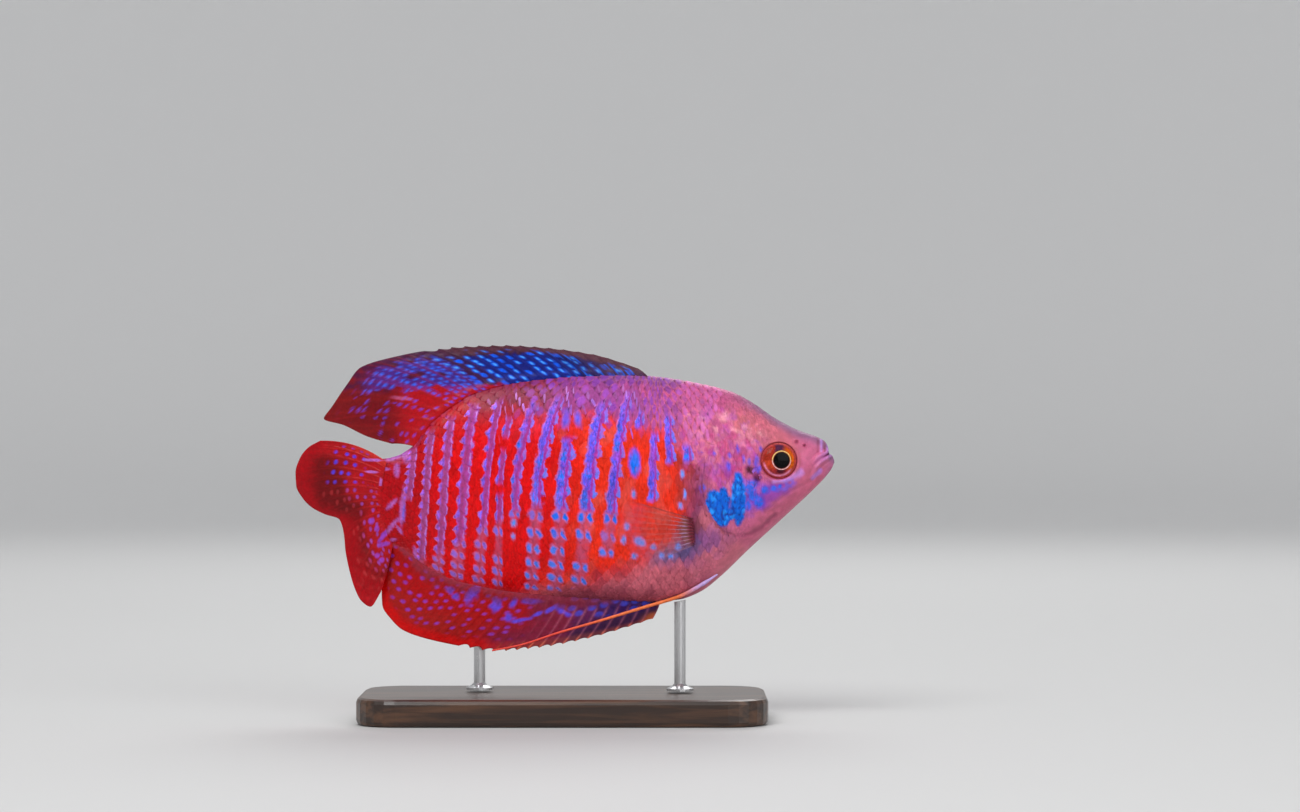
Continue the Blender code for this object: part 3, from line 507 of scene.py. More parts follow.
def solid_half(x, z):
    """How far the solids' flesh reaches from the middle plane, without the lips."""
    full = widest_half(x)
    edge = np.minimum(EDGE, 0.8 * full)
    top, bottom, middle = back_line(x), belly_line(x), widest_level(x)
    rise = np.clip((z - middle) / (top - middle), 0, 1)
    fall = np.clip((middle - z) / (middle - bottom), 0, 1)
    out = np.maximum(rise, fall)
    shape = np.clip(1 - out ** SECTION_POWER, 0, 1) ** np.where(z > middle, upper_power(x), lower_power(x))
    from_edge = x - gill_line(z)
    gill = GILL_PROUD * np.exp(-np.clip(from_edge, 0, None) / GILL_FADE) * smooth(-0.12, 0.02, from_edge)
    gill = gill * covered(z)
    rounded = edge * np.sqrt(np.clip(1 - out ** 14, 0, 1))
    return rounded + (full - edge) * shape + gill * shape


def from_eye(x, z):
    """The distance from the eye's middle in the side view."""
    return np.hypot(x - EYE_CENTRE[0], z - EYE_CENTRE[2])


def bell(off, width):
    """1 where off is 0, falling off softly over width."""
    return np.exp(-(off / width) ** 2)


def head_relief(x, z):
    """The face's own forms: lips, mouth, nostrils, the eye's socket and rim, and the cheek's bones."""
    off = distance_to(CLEFT, x, z)
    slit = 0.06 + 0.36 * smooth(37.6, 39.2, x)
    lips = 0.22 * bell(off - 0.44, 0.25) - slit * bell(off, 0.12)
    lips = lips - 0.09 * bell(off - 0.98, 0.14)
    relief = lips * smooth(LIP_END - 0.1, LIP_END + 1.8, x)
    for path, height, width in LIP_FOLDS:
        relief = relief + height * bell(distance_to(path, x, z), width)
    away = from_eye(x, z)
    relief = relief - 1.3 * smooth(2.8, 2.3, away) + 0.14 * bell(away - 2.98, 0.24)
    relief = relief - 0.06 * bell(away - 3.6, 0.3)
    for nx, nz, radius in NOSTRILS:
        away = np.hypot(x - nx, z - nz)
        relief = relief - 0.45 * bell(away, radius) + 0.09 * bell(away - 1.75 * radius, 0.12)
    for path, height, width in FACE_LINES:
        relief = relief + height * bell(distance_to(path, x, z), width)
    return relief + 0.02 * waver(x, z, 0.7, 5) * smooth(22, 26, x)


def scaled(x, z):
    """1 where the skin carries scales, 0 on the bare face."""
    on_nape = smooth(33.0, 29.5, x + 0.35 * (48.0 - z))
    behind_eye = smooth(30.0, 28.4, x - 0.25 * (z - 36.0))
    throat = smooth(24.6, 20.4, x - 0.9 * (z - 24.0)) * smooth(31.5, 28.5, z) + smooth(28.5, 31.5, z)
    return np.clip(np.maximum(on_nape, behind_eye), 0, 1) * throat


def skin_half(x, z):
    """How far the skin lies from the middle plane: the solids' flesh less the coat, with the face's forms."""
    half = solid_half(x, z) + head_relief(x, z)
    shallow = np.clip(half / 0.6, 0, 1)
    return np.maximum(half - COAT * scaled(x, z) * shallow, 0.0)


def surface(side, x, z, lift=0.0, half=None):
    """Points on one side's skin, lifted off it along its normal."""
    width = skin_half if half is None else half
    d = 0.03
    w = width(x, z)
    wx = (width(x + d, z) - width(x - d, z)) / (2 * d)
    wz = (width(x, z + d) - width(x, z - d)) / (2 * d)
    bend = (sway(x + d) - sway(x - d)) / (2 * d)
    normal = np.stack([-wx - side * bend, np.full_like(w, float(side)), -wz], axis=-1)
    normal /= np.linalg.norm(normal, axis=-1, keepdims=True)
    place = np.stack([x, sway(x) + side * w, z], axis=-1)
    return place + normal * np.asarray(lift)[..., None]


def cover_foot(z):
    """The line just behind the gill cover's edge, as x at a height."""
    return gill_line(z) - 0.14


def snout_end(z):
    """The line where the skin ends in front, as x at a height."""
    return SNOUT_END + 0 * z


def section_ends(line_x):
    """The heights at which the line x = line_x(z) crosses the belly and the back."""
    ends = []
    for line, low, high in ((belly_line, 0.0, LEVEL), (back_line, LEVEL, BODY_TOP)):
        for _ in range(30):
            middle = (low + high) / 2
            if line(line_x(middle)) > middle:
                low = middle
            else:
                high = middle
        ends.append((low + high) / 2)
    return ends


def material(name, roughness=0.4, coat=0.0, coat_roughness=0.1, subsurface=0.0, specular=0.4):
    """A new material with its Principled shader."""
    made = bpy.data.materials.new(name)
    made.use_nodes = True
    shader = made.node_tree.nodes["Principled BSDF"]
    values = {"Roughness": roughness, "Specular IOR Level": specular, "Coat Weight": coat,
              "Coat Roughness": coat_roughness}
    if subsurface:
        values["Subsurface Weight"] = subsurface
        values["Subsurface Radius"] = SCATTER
        values["Subsurface Scale"] = SCATTER_SCALE * MM
    for socket, value in values.items():
        shader.inputs[socket].default_value = value
    return made, shader


def node(made, kind, inputs=(), **settings):
    """A new node; inputs are (socket name or number, value or another node's output)."""
    new = made.node_tree.nodes.new("ShaderNode" + kind)
    for name, value in settings.items():
        setattr(new, name, value)
    for socket, value in inputs:
        if isinstance(value, bpy.types.NodeSocket):
            made.node_tree.links.new(value, new.inputs[socket])
        else:
            new.inputs[socket].default_value = value
    return new


def attribute(made, name, output="Color"):
    return node(made, "Attribute", attribute_name=name).outputs[output]


def place_of(made):
    return node(made, "TexCoord").outputs["Object"]


def noise_of(made, size, detail=2.0):
    """A noise texture whose spots are about size millimetres across."""
    scale = 1 / (size * MM)
    return node(made, "TexNoise", [("Vector", place_of(made)), ("Scale", scale), ("Detail", detail)])


def ramp(made, value, low, high, to_low=0.0, to_high=1.0, soft=True):
    kind = "SMOOTHSTEP" if soft else "LINEAR"
    made_node = node(made, "MapRange", [("Value", value), ("From Min", low), ("From Max", high),
                                        ("To Min", to_low), ("To Max", to_high)], interpolation_type=kind)
    return made_node.outputs["Result"]


def blend(made, share, first, second, kind="MIX"):
    mixed = node(made, "Mix", data_type="RGBA", blend_type=kind)
    sockets = [s for s in mixed.inputs if s.enabled]
    for socket, value in zip(sockets, (share, first, second)):
        if isinstance(value, bpy.types.NodeSocket):
            made.node_tree.links.new(value, socket)
        else:
            socket.default_value = value
    return [s for s in mixed.outputs if s.enabled][0]


def feed(made, shader, socket, output):
    """Joins a node's output to one of the shader's sockets."""
    made.node_tree.links.new(output, shader.inputs[socket])


def drawn_noise(made, scale, detail, *more):
    """A noise texture drawn out along the axes by the three numbers of scale."""
    drawn = node(made, "Mapping", [("Vector", place_of(made)), ("Scale", scale)])
    return node(made, "TexNoise", [("Vector", drawn.outputs[0]), ("Scale", 1.0), ("Detail", detail), *more])


def evenly(made, value, first, last):
    """A number that goes evenly from first to last while value goes from 0 to 1."""
    return ramp(made, value, 0.0, 1.0, first, last, soft=False)


def opaque(colour):
    """A written colour as a socket takes it."""
    return (*linear(colour), 1)


def shaded(made, tint, light):
    """tint times one number for its three parts."""
    grey = node(made, "CombineColor", [(0, light), (1, light), (2, light)]).outputs["Color"]
    return blend(made, 1.0, tint, grey, "MULTIPLY")


def add_bump(made, shader, height, distance):
    bump = node(made, "Bump", [("Height", height), ("Distance", distance * MM), ("Strength", 1.0)])
    feed(made, shader, "Normal", bump.outputs["Normal"])


def mottled(made, shader, tint, light=0.16, size=0.5):
    """Feeds tint into the shader, a little lighter and darker in fine patches."""
    patches = ramp(made, noise_of(made, size, 3.0).outputs["Fac"], 0.3, 0.7, 1 - light, 1 + light)
    feed(made, shader, "Base Color", shaded(made, tint, patches))


def skin_material():
    """Bare wet skin, painted by its own colour attribute, with fine pigment specks."""
    made, shader = material("skin", 0.42, coat=0.1, coat_roughness=0.15, subsurface=0.1, specular=0.16)
    tint, _ = paint_bars(made, attribute(made, "tint"))
    pigment = node(made, "TexVoronoi", [("Vector", place_of(made)), ("Scale", 1 / (0.34 * MM))])
    specks = ramp(made, pigment.outputs["Distance"], 0.1, 0.3, 0.16, 0.0)
    dark = blend(made, 1.0, tint, SPECK_SHADE, "MULTIPLY")
    mottled(made, shader, blend(made, specks, tint, dark), 0.12, 1.1)
    add_bump(made, shader, noise_of(made, 0.22, 3.0).outputs["Fac"], 0.035)
    return made


def mark_mask(made, name, rough):
    """How much of a scale's mark covers a point: a soft, slightly ragged lozenge, times its strength."""
    along_it, across_it, strength = parts_of(made, attribute(made, name, "Vector"))
    flat = node(made, "CombineXYZ", [(0, along_it), (1, across_it)]).outputs[0]
    away = node(made, "VectorMath", [(0, flat)], operation="LENGTH").outputs["Value"]
    folded = node(made, "VectorMath", [(0, flat)], operation="ABSOLUTE").outputs[0]
    corner = node(made, "VectorMath", [(0, folded), (1, (1, 1, 0))], operation="DOT_PRODUCT").outputs["Value"]
    ragged = calc(made, "ADD", calc(made, "ADD", away, corner), rough)
    return product(made, ramp(made, ragged, 2.5, 1.3), strength)


def calc(made, kind, *values):
    """The output of a math node on numbers or other nodes' outputs."""
    return node(made, "Math", list(enumerate(values)), operation=kind).outputs[0]


def parts_of(made, output, kind="XYZ"):
    """The three parts of a vector or colour."""
    return node(made, "Separate" + kind, [(0, output)]).outputs


def product(made, *values):
    total = values[0]
    for value in values[1:]:
        total = calc(made, "MULTIPLY", total, value)
    return total


def spot_at(made, across, up, half_across, half_up, slant):
    """The squared distance from a spot's middle, 1 on its edge; the spot leans by slant."""
    leaning = calc(made, "MULTIPLY_ADD", up, slant, across)
    squares = [calc(made, "POWER", calc(made, "ABSOLUTE", calc(made, "DIVIDE", value, half)), 2.0)
               for value, half in ((leaning, half_across), (up, half_up))]
    return calc(made, "ADD", *squares)


def paint_bars(made, tint):
    """Lays the bars over tint, and tells where their bright marks are.

    A bar is a ribbon with teeth or a bright streak on its rear side, a dark seam along its middle and
    slanting strokes on its front side; low on the flank it breaks up into pairs of spots. The lattice gives
    every place its column, its row and how much bar is there; a bar's middle lies at every second column.
    The manner says how much of a streak the bar has, and how low on the flank it is.
    """
    do, times, step, even = (partial(tool, made) for tool in (calc, product, ramp, evenly))
    column, row, reach = parts_of(made, attribute(made, "lattice", "Vector"))
    streak, low, _ = parts_of(made, attribute(made, "manner", "Vector"))
    shift = parts_of(made, noise_of(made, 0.9, 2.0).outputs["Color"], "Color")
    column = do("ADD", column, even(shift[0], -0.26, 0.26))
    row = do("ADD", row, times(even(shift[1], -1.0, 1.0), step(low, 0.0, 1.0, 0.8, 0.3)))
    across = do("WRAP", column, 1.0, -1.0)
    up = do("WRAP", row, 1.0, -1.0)
    up_stroke = do("WRAP", do("ADD", row, 1.0), 1.0, -1.0)
    cell = node(made, "CombineXYZ", [(0, do("SUBTRACT", column, across)), (1, do("SUBTRACT", row, up))])
    chance = node(made, "TexWhiteNoise", [("Vector", cell.outputs[0])]).outputs["Color"]
    chance = parts_of(made, chance, "Color")
    level = do("ABSOLUTE", up)
    plainer = do("SUBTRACT", 1.0, streak)
    whole = do("SUBTRACT", 1.0, low)
    # The ribbon, between its toothed rear edge and its wavy front edge
    tooth = times(step(level, 0.8, 0.0, soft=False), even(chance[0], 0.28, 0.42), even(streak, 1.0, 0.4))
    rear_edge = do("ADD", do("ADD", across, tooth), even(streak, 0.3, 0.48))
    saw = even(streak, 0.05, 0.16)
    ahead = do("SUBTRACT", do("MULTIPLY_ADD", up_stroke, saw, across), even(streak, 0.55, 0.42))
    ribbon = times(step(rear_edge, -0.06, 0.05), step(ahead, 0.06, -0.05), reach)
    thin = times(step(do("ABSOLUTE", do("SUBTRACT", across, 0.05)), 0.7, 0.2), reach,
                 step(shift[2], 0.35, 0.65, 0.65, 1.0))
    share = do("ADD", times(ribbon, whole, step(shift[2], 0.35, 0.6, 0.74, 0.96)), times(thin, low, 0.8))
    tint = blend(made, share, tint, attribute(made, "ribbon"))
    # Teeth, or one streak where streak is 1
    threads = parts_of(made, drawn_noise(made, THREAD_SCALE, 3.0).outputs["Color"], "Color")
    bright = times(even(chance[2], 0.8, 1.15), step(threads[0], 0.35, 0.65, 0.72, 1.3))
    threaded = times(step(threads[1], 0.5, 0.62), 0.6)
    vivid = blend(made, threaded, attribute(made, "vivid"), opaque(THREAD_VIOLET))
    vivid = shaded(made, vivid, bright)
    # A painted highlight along the rear edges of the teeth
    tip_highlighted = blend(made, step(rear_edge, 0.0, 0.2), opaque(TIP_HIGHLIGHT_PINK), vivid)
    teeth = times(step(across, -0.1, -0.22), step(level, 0.78, 0.4), plainer)
    band = times(step(across, 0.16, 0.0), streak, step(level, 1.0, 0.3, 0.8, 1.0))
    front = times(do("ADD", teeth, band), ribbon, whole)
    tint = blend(made, front, tint, tip_highlighted)
    beside = do("ABSOLUTE", do("SUBTRACT", across, even(streak, 0.08, 0.19)))
    seam = step(beside, even(streak, 0.34, 0.12), 0.02)
    seam_tone = blend(made, streak, opaque(SEAM_REAR), opaque(SEAM_PURPLE))
    seam = times(seam, reach, whole, 0.6, step(threads[2], 0.35, 0.6, 0.5, 1.0))
    tint = blend(made, seam, tint, seam_tone)
    # Strokes that slant down towards the head
    place = do("MULTIPLY_ADD", up_stroke, even(streak, 0.07, 0.18), across)
    off = do("ABSOLUTE", do("SUBTRACT", place, even(streak, 0.44, 0.43)))
    width = times(step(up_stroke, 0.9, -0.6, 0.35, 1.0), even(streak, 0.085, 0.16))
    line = step(do("SUBTRACT", off, width), 0.04, -0.04)
    ends = times(step(up_stroke, 1.0, 0.7), step(up_stroke, -1.0, -0.72))
    lower = times(step(up_stroke, 0.4, -0.6), even(streak, 0.4, 0.9))
    upper = blend(made, streak, opaque(STROKE), opaque(STROKE_FRONT))
    tone = blend(made, lower, upper, blend(made, times(streak, 0.5), vivid, opaque(STROKE_TIP)))
    strokes = times(line, ends, reach, whole, even(chance[1], 0.65, 1.0))
    tint = blend(made, strokes, tint, tone)
    # Pairs of spots
    behind = spot_at(made, do("ADD", across, 0.33), up, 0.27, 0.56, 0.16)
    before = spot_at(made, do("ADD", across, -0.4), do("ADD", up, 0.12), 0.19, 0.52, 0.22)
    nearest = do("ADD", do("MINIMUM", behind, before), even(shift[2], -0.35, 0.35))
    there = times(low, reach, step(chance[0], 0.06, 0.12))
    tint = blend(made, times(step(nearest, 2.5, 0.9), there, 0.9), tint, opaque(SPOT_RIM))
    spots = times(step(nearest, 1.25, 0.25), there)
    tint = blend(made, spots, tint, attribute(made, "vivid"))
    return tint, do("MAXIMUM", do("MAXIMUM", front, strokes), spots)


def scale_material():
    """A scale: its ground, the bars, two marks of its own (the second a painted highlight near its tip),
    painted shade along its rim and a metallic glint on the marks.
    """
    made, shader = material("scales", 0.36, coat=0.08, coat_roughness=0.2, specular=0.13)
    rough = ramp(made, noise_of(made, 0.3, 2.0).outputs["Fac"], 0.3, 0.7, -0.4, 0.4, soft=False)
    streaks = drawn_noise(made, STREAK_SCALE, 2.0).outputs["Fac"]
    ground = shaded(made, attribute(made, "ground"), ramp(made, streaks, 0.35, 0.65, 0.88, 1.1))
    tint, barred = paint_bars(made, ground)
    first, second = mark_mask(made, "spot", rough), mark_mask(made, "second", rough)
    tint = blend(made, first, tint, attribute(made, "mark"))
    # The second mark is a painted highlight near the scale's tip
    tint = blend(made, second, tint, attribute(made, "tip_highlight"))
    # Painted shade along the scale's free rim, where it lies over the next ones
    line = ramp(made, attribute(made, "rim", "Fac"), 0.55, 1.0, 0.0, 0.7)
    tint = blend(made, line, tint, blend(made, 1.0, tint, RIM_SHADE, "MULTIPLY"))
    mottled(made, shader, tint, 0.09, 0.6)
    most = calc(made, "MAXIMUM", calc(made, "MAXIMUM", first, second), barred)
    feed(made, shader, "Metallic", calc(made, "MULTIPLY", most, 0.3))
    feed(made, shader, "Roughness", ramp(made, noise_of(made, 0.6).outputs["Fac"], 0.3, 0.7, 0.26, 0.46))
    add_bump(made, shader, noise_of(made, 0.3, 2.0).outputs["Fac"], 0.02)
    return made


def fin_material(name, roughness=0.42, clear=False):
    """Fin web and rays, painted by the colour attribute; a clear fin also thins out between its rays."""
    made, shader = material(name, roughness, coat=0.08, coat_roughness=0.2,
                            subsurface=0.0 if clear else 0.1, specular=0.13)
    mottled(made, shader, attribute(made, "tint"), 0.12, 0.35)
    if clear:
        feed(made, shader, "Alpha", attribute(made, "body", "Fac"))
    add_bump(made, shader, noise_of(made, 0.18, 2.0).outputs["Fac"], 0.02)
    return made


def eye_material():
    """A painted iris under a hard clear coat."""
    made, shader = material("eye", 0.5, coat=0.14, coat_roughness=0.03, specular=0.03)
    mottled(made, shader, attribute(made, "tint"), 0.22, 0.3)
    return made


def make_object(name, points, faces, finish, colours=None, numbers=None, vectors=None):
    """A mesh object from points in millimetres, with colour, number and vector attributes on its points."""
    mesh = bpy.data.meshes.new(name)
    faces = faces if isinstance(faces, list) else np.asarray(faces).tolist()
    mesh.from_pydata((np.asarray(points, float) * MM).tolist(), [], faces)
    for key, values in (colours or {}).items():
        layer = mesh.color_attributes.new(key, "FLOAT_COLOR", "POINT")
        full = np.concatenate([values, np.ones((len(values), 1))], axis=1)
        layer.data.foreach_set("color", full.astype(np.float32).ravel())
    for key, values in (numbers or {}).items():
        layer = mesh.attributes.new(key, "FLOAT", "POINT")
        layer.data.foreach_set("value", np.asarray(values, np.float32).ravel())
    for key, values in (vectors or {}).items():
        layer = mesh.attributes.new(key, "FLOAT_VECTOR", "POINT")
        layer.data.foreach_set("vector", np.asarray(values, np.float32).ravel())
    mesh.shade_smooth()
    mesh.materials.append(finish)
    made = bpy.data.objects.new(name, mesh)
    bpy.context.scene.collection.objects.link(made)
    return made


def grid_faces(rows, columns, start=0, flip=False):
    """The four-sided faces of a grid of points."""
    i, j = np.meshgrid(np.arange(rows - 1), np.arange(columns - 1), indexing="ij")
    a = start + i * columns + j
    faces = np.stack([a, a + columns, a + columns + 1, a + 1], axis=-1).reshape(-1, 4)
    return faces[:, ::-1] if flip else faces


def tube_faces(rings, spokes, flip=False):
    """The four-sided faces between rings of points that close on themselves."""
    start, spoke = np.arange(rings - 1)[:, None] * spokes, np.arange(spokes)[None, :]
    a, b = start + spoke, start + (spoke + 1) % spokes
    faces = np.stack([a, b, b + spokes, a + spokes], axis=-1).reshape(-1, 4)
    return faces[:, ::-1] if flip else faces


def ring_of(rows, columns):
    """The points round a grid's border, in order."""
    rim = list(range(columns - 1))
    rim += [i * columns + columns - 1 for i in range(rows - 1)]
    rim += [(rows - 1) * columns + j for j in range(columns - 1, 0, -1)]
    rim += [i * columns for i in range(rows - 1, 0, -1)]
    return np.array(rim)


def closed_sheets(right, left):
    """Points and faces of a solid between two grids that match point to point."""
    rows, columns = right.shape[:2]
    count = rows * columns
    rim = ring_of(rows, columns)
    after = np.roll(rim, -1)
    wall = np.stack([rim, after, after + count, rim + count], axis=-1)
    faces = np.concatenate([grid_faces(rows, columns), grid_faces(rows, columns, count, True), wall])
    return np.concatenate([right.reshape(-1, 3), left.reshape(-1, 3)]), faces


def paint_body(x, z):
    """The ground colour of the trunk and tail stem, between and under the bars."""
    deep, high = back_line(x) - z, z - belly_line(x)
    broad, fine = waver(x, z, 2.4, 1), waver(x, z, 0.8, 2)
    upper = smooth(1.2, -1.2, deep - mauve_depth(x) + 1.0 * fine)
    blotched = smooth(-0.1, 0.6, waver(x, z, 1.3, 23) + 0.4 * fine)
    before_cover = smooth(16.0, 17.4, x + 0.5 * fine) * smooth(20.4, 19.0, x)
    return covers(
        plain(RED, x),
        (DEEP_RED, smooth(-14, -25, x + 2 * broad)),
        (DEEP_RED, 0.75 * smooth(-3, -9, x) * smooth(5.5, 1.0, deep + fine)),
        (ORANGE, 0.9 * smooth(-4, 8, x + 2 * broad) * smooth(20, 25, z)),
        (ORANGE, 0.5 * smooth(16, 8, x) * smooth(-6, -2, x) * smooth(25, 20, z + fine)),
        (ROSE, 0.35 * smooth(-13, -4, x) * smooth(9.5, 5.0, deep + 1.2 * broad)),
        (FLANK_CORAL, 0.45 * smooth(-5, 3, x) * smooth(0.1, 0.7, waver(x, 0.6 * z, 1.4, 26))),
        (MAUVE, 0.92 * upper),
        (MAUVE_FRONT, 0.85 * upper * smooth(5, 12, x + broad)),
        (BACK_CORAL, 0.5 * upper * smooth(0.1, 0.6, waver(x, z, 1.5, 24)) * smooth(-4, 4, x)),
        (BACK_WINE, 0.6 * upper * smooth(-3, -8, x + broad)),
        (BACK_VIOLET, 0.5 * upper * smooth(-4, 0, x + broad) * smooth(14, 10, x)),
        (CROWN, 0.55 * smooth(2.0, 0.2, deep + 0.4 * broad) * smooth(-2, 10, x)),
        (BACK_DUSK, 0.85 * smooth(-16, -11, x) * smooth(3, -4, x) * smooth(6.6, 2.4, deep + 0.5 * fine)),
        (SHOULDER, 0.85 * smooth(17.6, 19.4, x + 0.8 * fine + 0.12 * np.clip(z - 38, 0, 9))),
        (SHOULDER_FOOT, 0.9 * smooth(38.5, 35.5, z + fine) * smooth(18.3, 19.6, x + 0.4 * fine)),
        (BELLY, 0.9 * smooth(2.4, -2.0, high - belly_top(x) + 0.9 * broad + 0.5 * fine)),
        (BELLY_BLOTCH, 0.45 * blotched * smooth(6.5, 3.5, high) * smooth(0, 6, x) * smooth(24, 19, x)),
        (BELLY_DARK, 0.6 * smooth(-4, 1, x) * smooth(15, 9, x) * smooth(3.0, 0.6, high + 0.5 * fine)),
        (COVER_BROWN, 0.7 * before_cover * smooth(41, 38, z) * smooth(29, 33, z)),
        (MAROON, 0.8 * smooth(1.4, 0.4, in_blot(FIN_SHADE_BLOT, x, z) + 0.2 * fine)))


def paint_spots(tint, x, z):
    """The mottling of shoulder and cheek, the painted highlights on the nape, and the single spots and
    strokes of trunk and stem.
    """
    fine, rough = waver(x, z, 0.8, 2), waver(x, z, 0.5, 18)
    there = smooth(1.3, 0.7, in_blot(SHOULDER_BLOT, x, z)) * smooth(0.5, 1.5, from_eye(x, z) - 2.9)
    there = there * (1 - 0.8 * smooth(23, 20.5, x) * smooth(39, 36, z))
    there = there * smooth(16.8, 18.6, x + 0.12 * np.clip(z - 38, 0, 9))
    for (colour, share), seed in zip(MOTTLES, range(61, 70)):
        patch = waver(0.75 * x + 0.2 * z, 0.5 * z, 0.62, seed) + 0.5 * waver(x, z, 0.35, seed + 10)
        tint = cover(tint, colour, share * there * smooth(0.15, 0.75, patch))
    for blots, grain, layers in (
            # painted highlights on the nape
            (GLINTS, 0.7 * rough, [(GLINT, 0.5, 1.1, 0.2)]),
            (FREE_BLOTS, 0.15 * fine, [(VIVID_FRONT, 0.9, 1.35, 1.0), (BRILLIANT, 1.0, 1.0, 0.6)]),
            (HIGH_SPOTS, 0.25 * fine, [(VIVID_BACK, 0.85, 1.6, 0.9), (VIVID_FRONT, 0.9, 1.0, 0.4)]),
            (LOOSE_SPOTS, 0.2 * fine, [(LOOSE_RIM, 0.4, 1.8, 1.1), (LOOSE_BLUE, 1.0, 1.35, 0.6)]),
            (STEM_BLOTS, 0.3 * fine, [(STEM_VIOLET, 0.85, 1.45, 0.75)]),
            (STEM_STROKES, 0.2 * fine, [(STEM_BLUE, 0.8, 1.3, 0.5)])):
        tint = paint_blots(tint, blots, x, z, grain, *layers)
    return tint


def paint_head(x, z):
    """The head's colours, with painted highlights on the lips, at the mouth's corner and under the eye, and
    painted shade in its furrows, mouth slit and nostrils.
    """
    deep, high = back_line(x) - z, z - belly_line(x)
    broad, fine, grain = waver(x, z, 2.6, 3), waver(x, z, 0.7, 4), waver(x, z, 0.45, 6)
    cheek = smooth(1.3, 0.5, in_blot(CHEEK_BLOT, x, z) + 0.3 * fine)
    away, lips = from_eye(x, z), distance_to(CLEFT, x, z)
    streak_width = 0.34 + 0.22 * smooth(32, 34.6, x)
    near = smooth(36.2, 38.6, x)
    edge = x - gill_line(z)
    tint = covers(
        plain(HEAD_PINK, x),
        (MAUVE, 0.6 * smooth(27, 22, x) * smooth(38, 44, z)),
        (SALMON, 0.8 * smooth(1.25, 0.4, in_blot(SALMON_BLOT, x, z) + 0.2 * broad)),
        (CHEEK, 0.8 * cheek),
        (CHEEK_MAGENTA, 0.7 * cheek * smooth(-0.1, 0.5, waver(x, z, 1.1, 19))),
        (CHEEK_ROSE, 0.7 * cheek * smooth(0.0, 0.5, fine + 0.4 * broad) * smooth(28, 26, x)),
        (JAW_VIOLET, 0.8 * smooth(1.3, 0.5, in_blot(JAW_BLOT, x, z) + 0.25 * fine)),
        (THROAT, 0.9 * smooth(4.6, 2.6, high + 0.7 * broad) * smooth(39.2, 37.6, x)),
        (BELLY, 0.8 * smooth(26.4, 24.4, x - 0.5 * (z - 27)) * smooth(29.2, 27.2, z)),
        (COVER_EDGE_AND_HOLLOW_SHADE, 0.75 * smooth(1.9, 0.2, edge) * smooth(40, 36, z) * smooth(26.5, 29, z)),
        # painted shade along the throat's furrow
        (COVER_EDGE_AND_HOLLOW_SHADE, 0.6 * smooth(0.55, 0.05, distance_to(THROAT_LINE, x, z) + 0.1 * fine)),
        (CROWN, 0.85 * smooth(1.9, 0.3, deep + 0.4 * broad) * smooth(22, 30, x)),
        (CROWN, 0.35 * smooth(37.6, 39.4, x)),
        (SALMON, 0.5 * smooth(3.5, 3.1, away)),
        (EYE_VIOLET, 0.8 * smooth(1.15, 0.6, in_blot(UNDER_EYE_BLOT, x, z)) * smooth(-0.2, 0.35, grain)),
        # painted highlight along the fold under the eye
        (LAVENDER_HIGHLIGHT, 0.62 * smooth(1.5, 0.1, distance_to(UNDER_EYE, x, z) / streak_width + 0.25 * fine)),
        # painted highlight at the mouth's corner
        (CORNER_HIGHLIGHT, 0.6 * smooth(0.55, 0.0, distance_to(MOUTH_CORNER, x, z) + 0.15 * fine)),
        # painted highlight along the lips
        (LAVENDER_HIGHLIGHT, 0.3 * smooth(0.75, 0.4, lips) * near))
    # Painted highlights on the raised folds of the lips, painted shade in their grooves
    for path, height, reach in LIP_FOLDS[:4]:
        fold = bell(distance_to(path, x, z), reach)
        tint = cover(tint, LAVENDER_HIGHLIGHT if height > 0 else COVER_EDGE_AND_HOLLOW_SHADE, 0.55 * fold)
    tint = covers(
        tint,
        # painted shade in the mouth's slit
        (MOUTH_SLIT_SHADE, 0.55 * near * smooth(0.2, 0.05, lips) * smooth(37.8, 39.0, x)),
        (SOCKET_ROSE, 0.8 * smooth(3.0, 2.6, away)))
    # Painted shade in the nostrils' pits
    for nx, nz, radius in NOSTRILS:
        tint = cover(tint, COVER_EDGE_AND_HOLLOW_SHADE, 0.4 * smooth(1.2 * radius, 0.5 * radius, np.hypot(x - nx, z - nz)))
    return tint


def paint_base(x, z):
    """The body's colours behind the gill cover's edge and the head's before it, blended over the nape."""
    reach = 0.1 + 2.6 * smooth(38.5, 42.5, z) + 1.5 * smooth(29, 27, z)
    on_head = smooth(-1, 1, (x - gill_line(z)) / reach)[..., None]
    tint = paint_body(x, z) * (1 - on_head) + paint_head(x, z) * on_head
    broad, fine = waver(x, z, 2.4, 1), waver(x, z, 0.8, 2)
    patchy = smooth(-0.9, 0.3, waver(x, z, 0.9, 25) + 0.3 * broad)
    return covers(
        tint,
        (HAZE, 0.7 * (smooth(1.3, 0.4, in_blot(HAZE_BLOT, x, z)) * patchy)),
        (TEAL, 0.8 * smooth(1.4, 0.4, in_blot(TEAL_BLOT, x, z) + 0.3 * fine)))


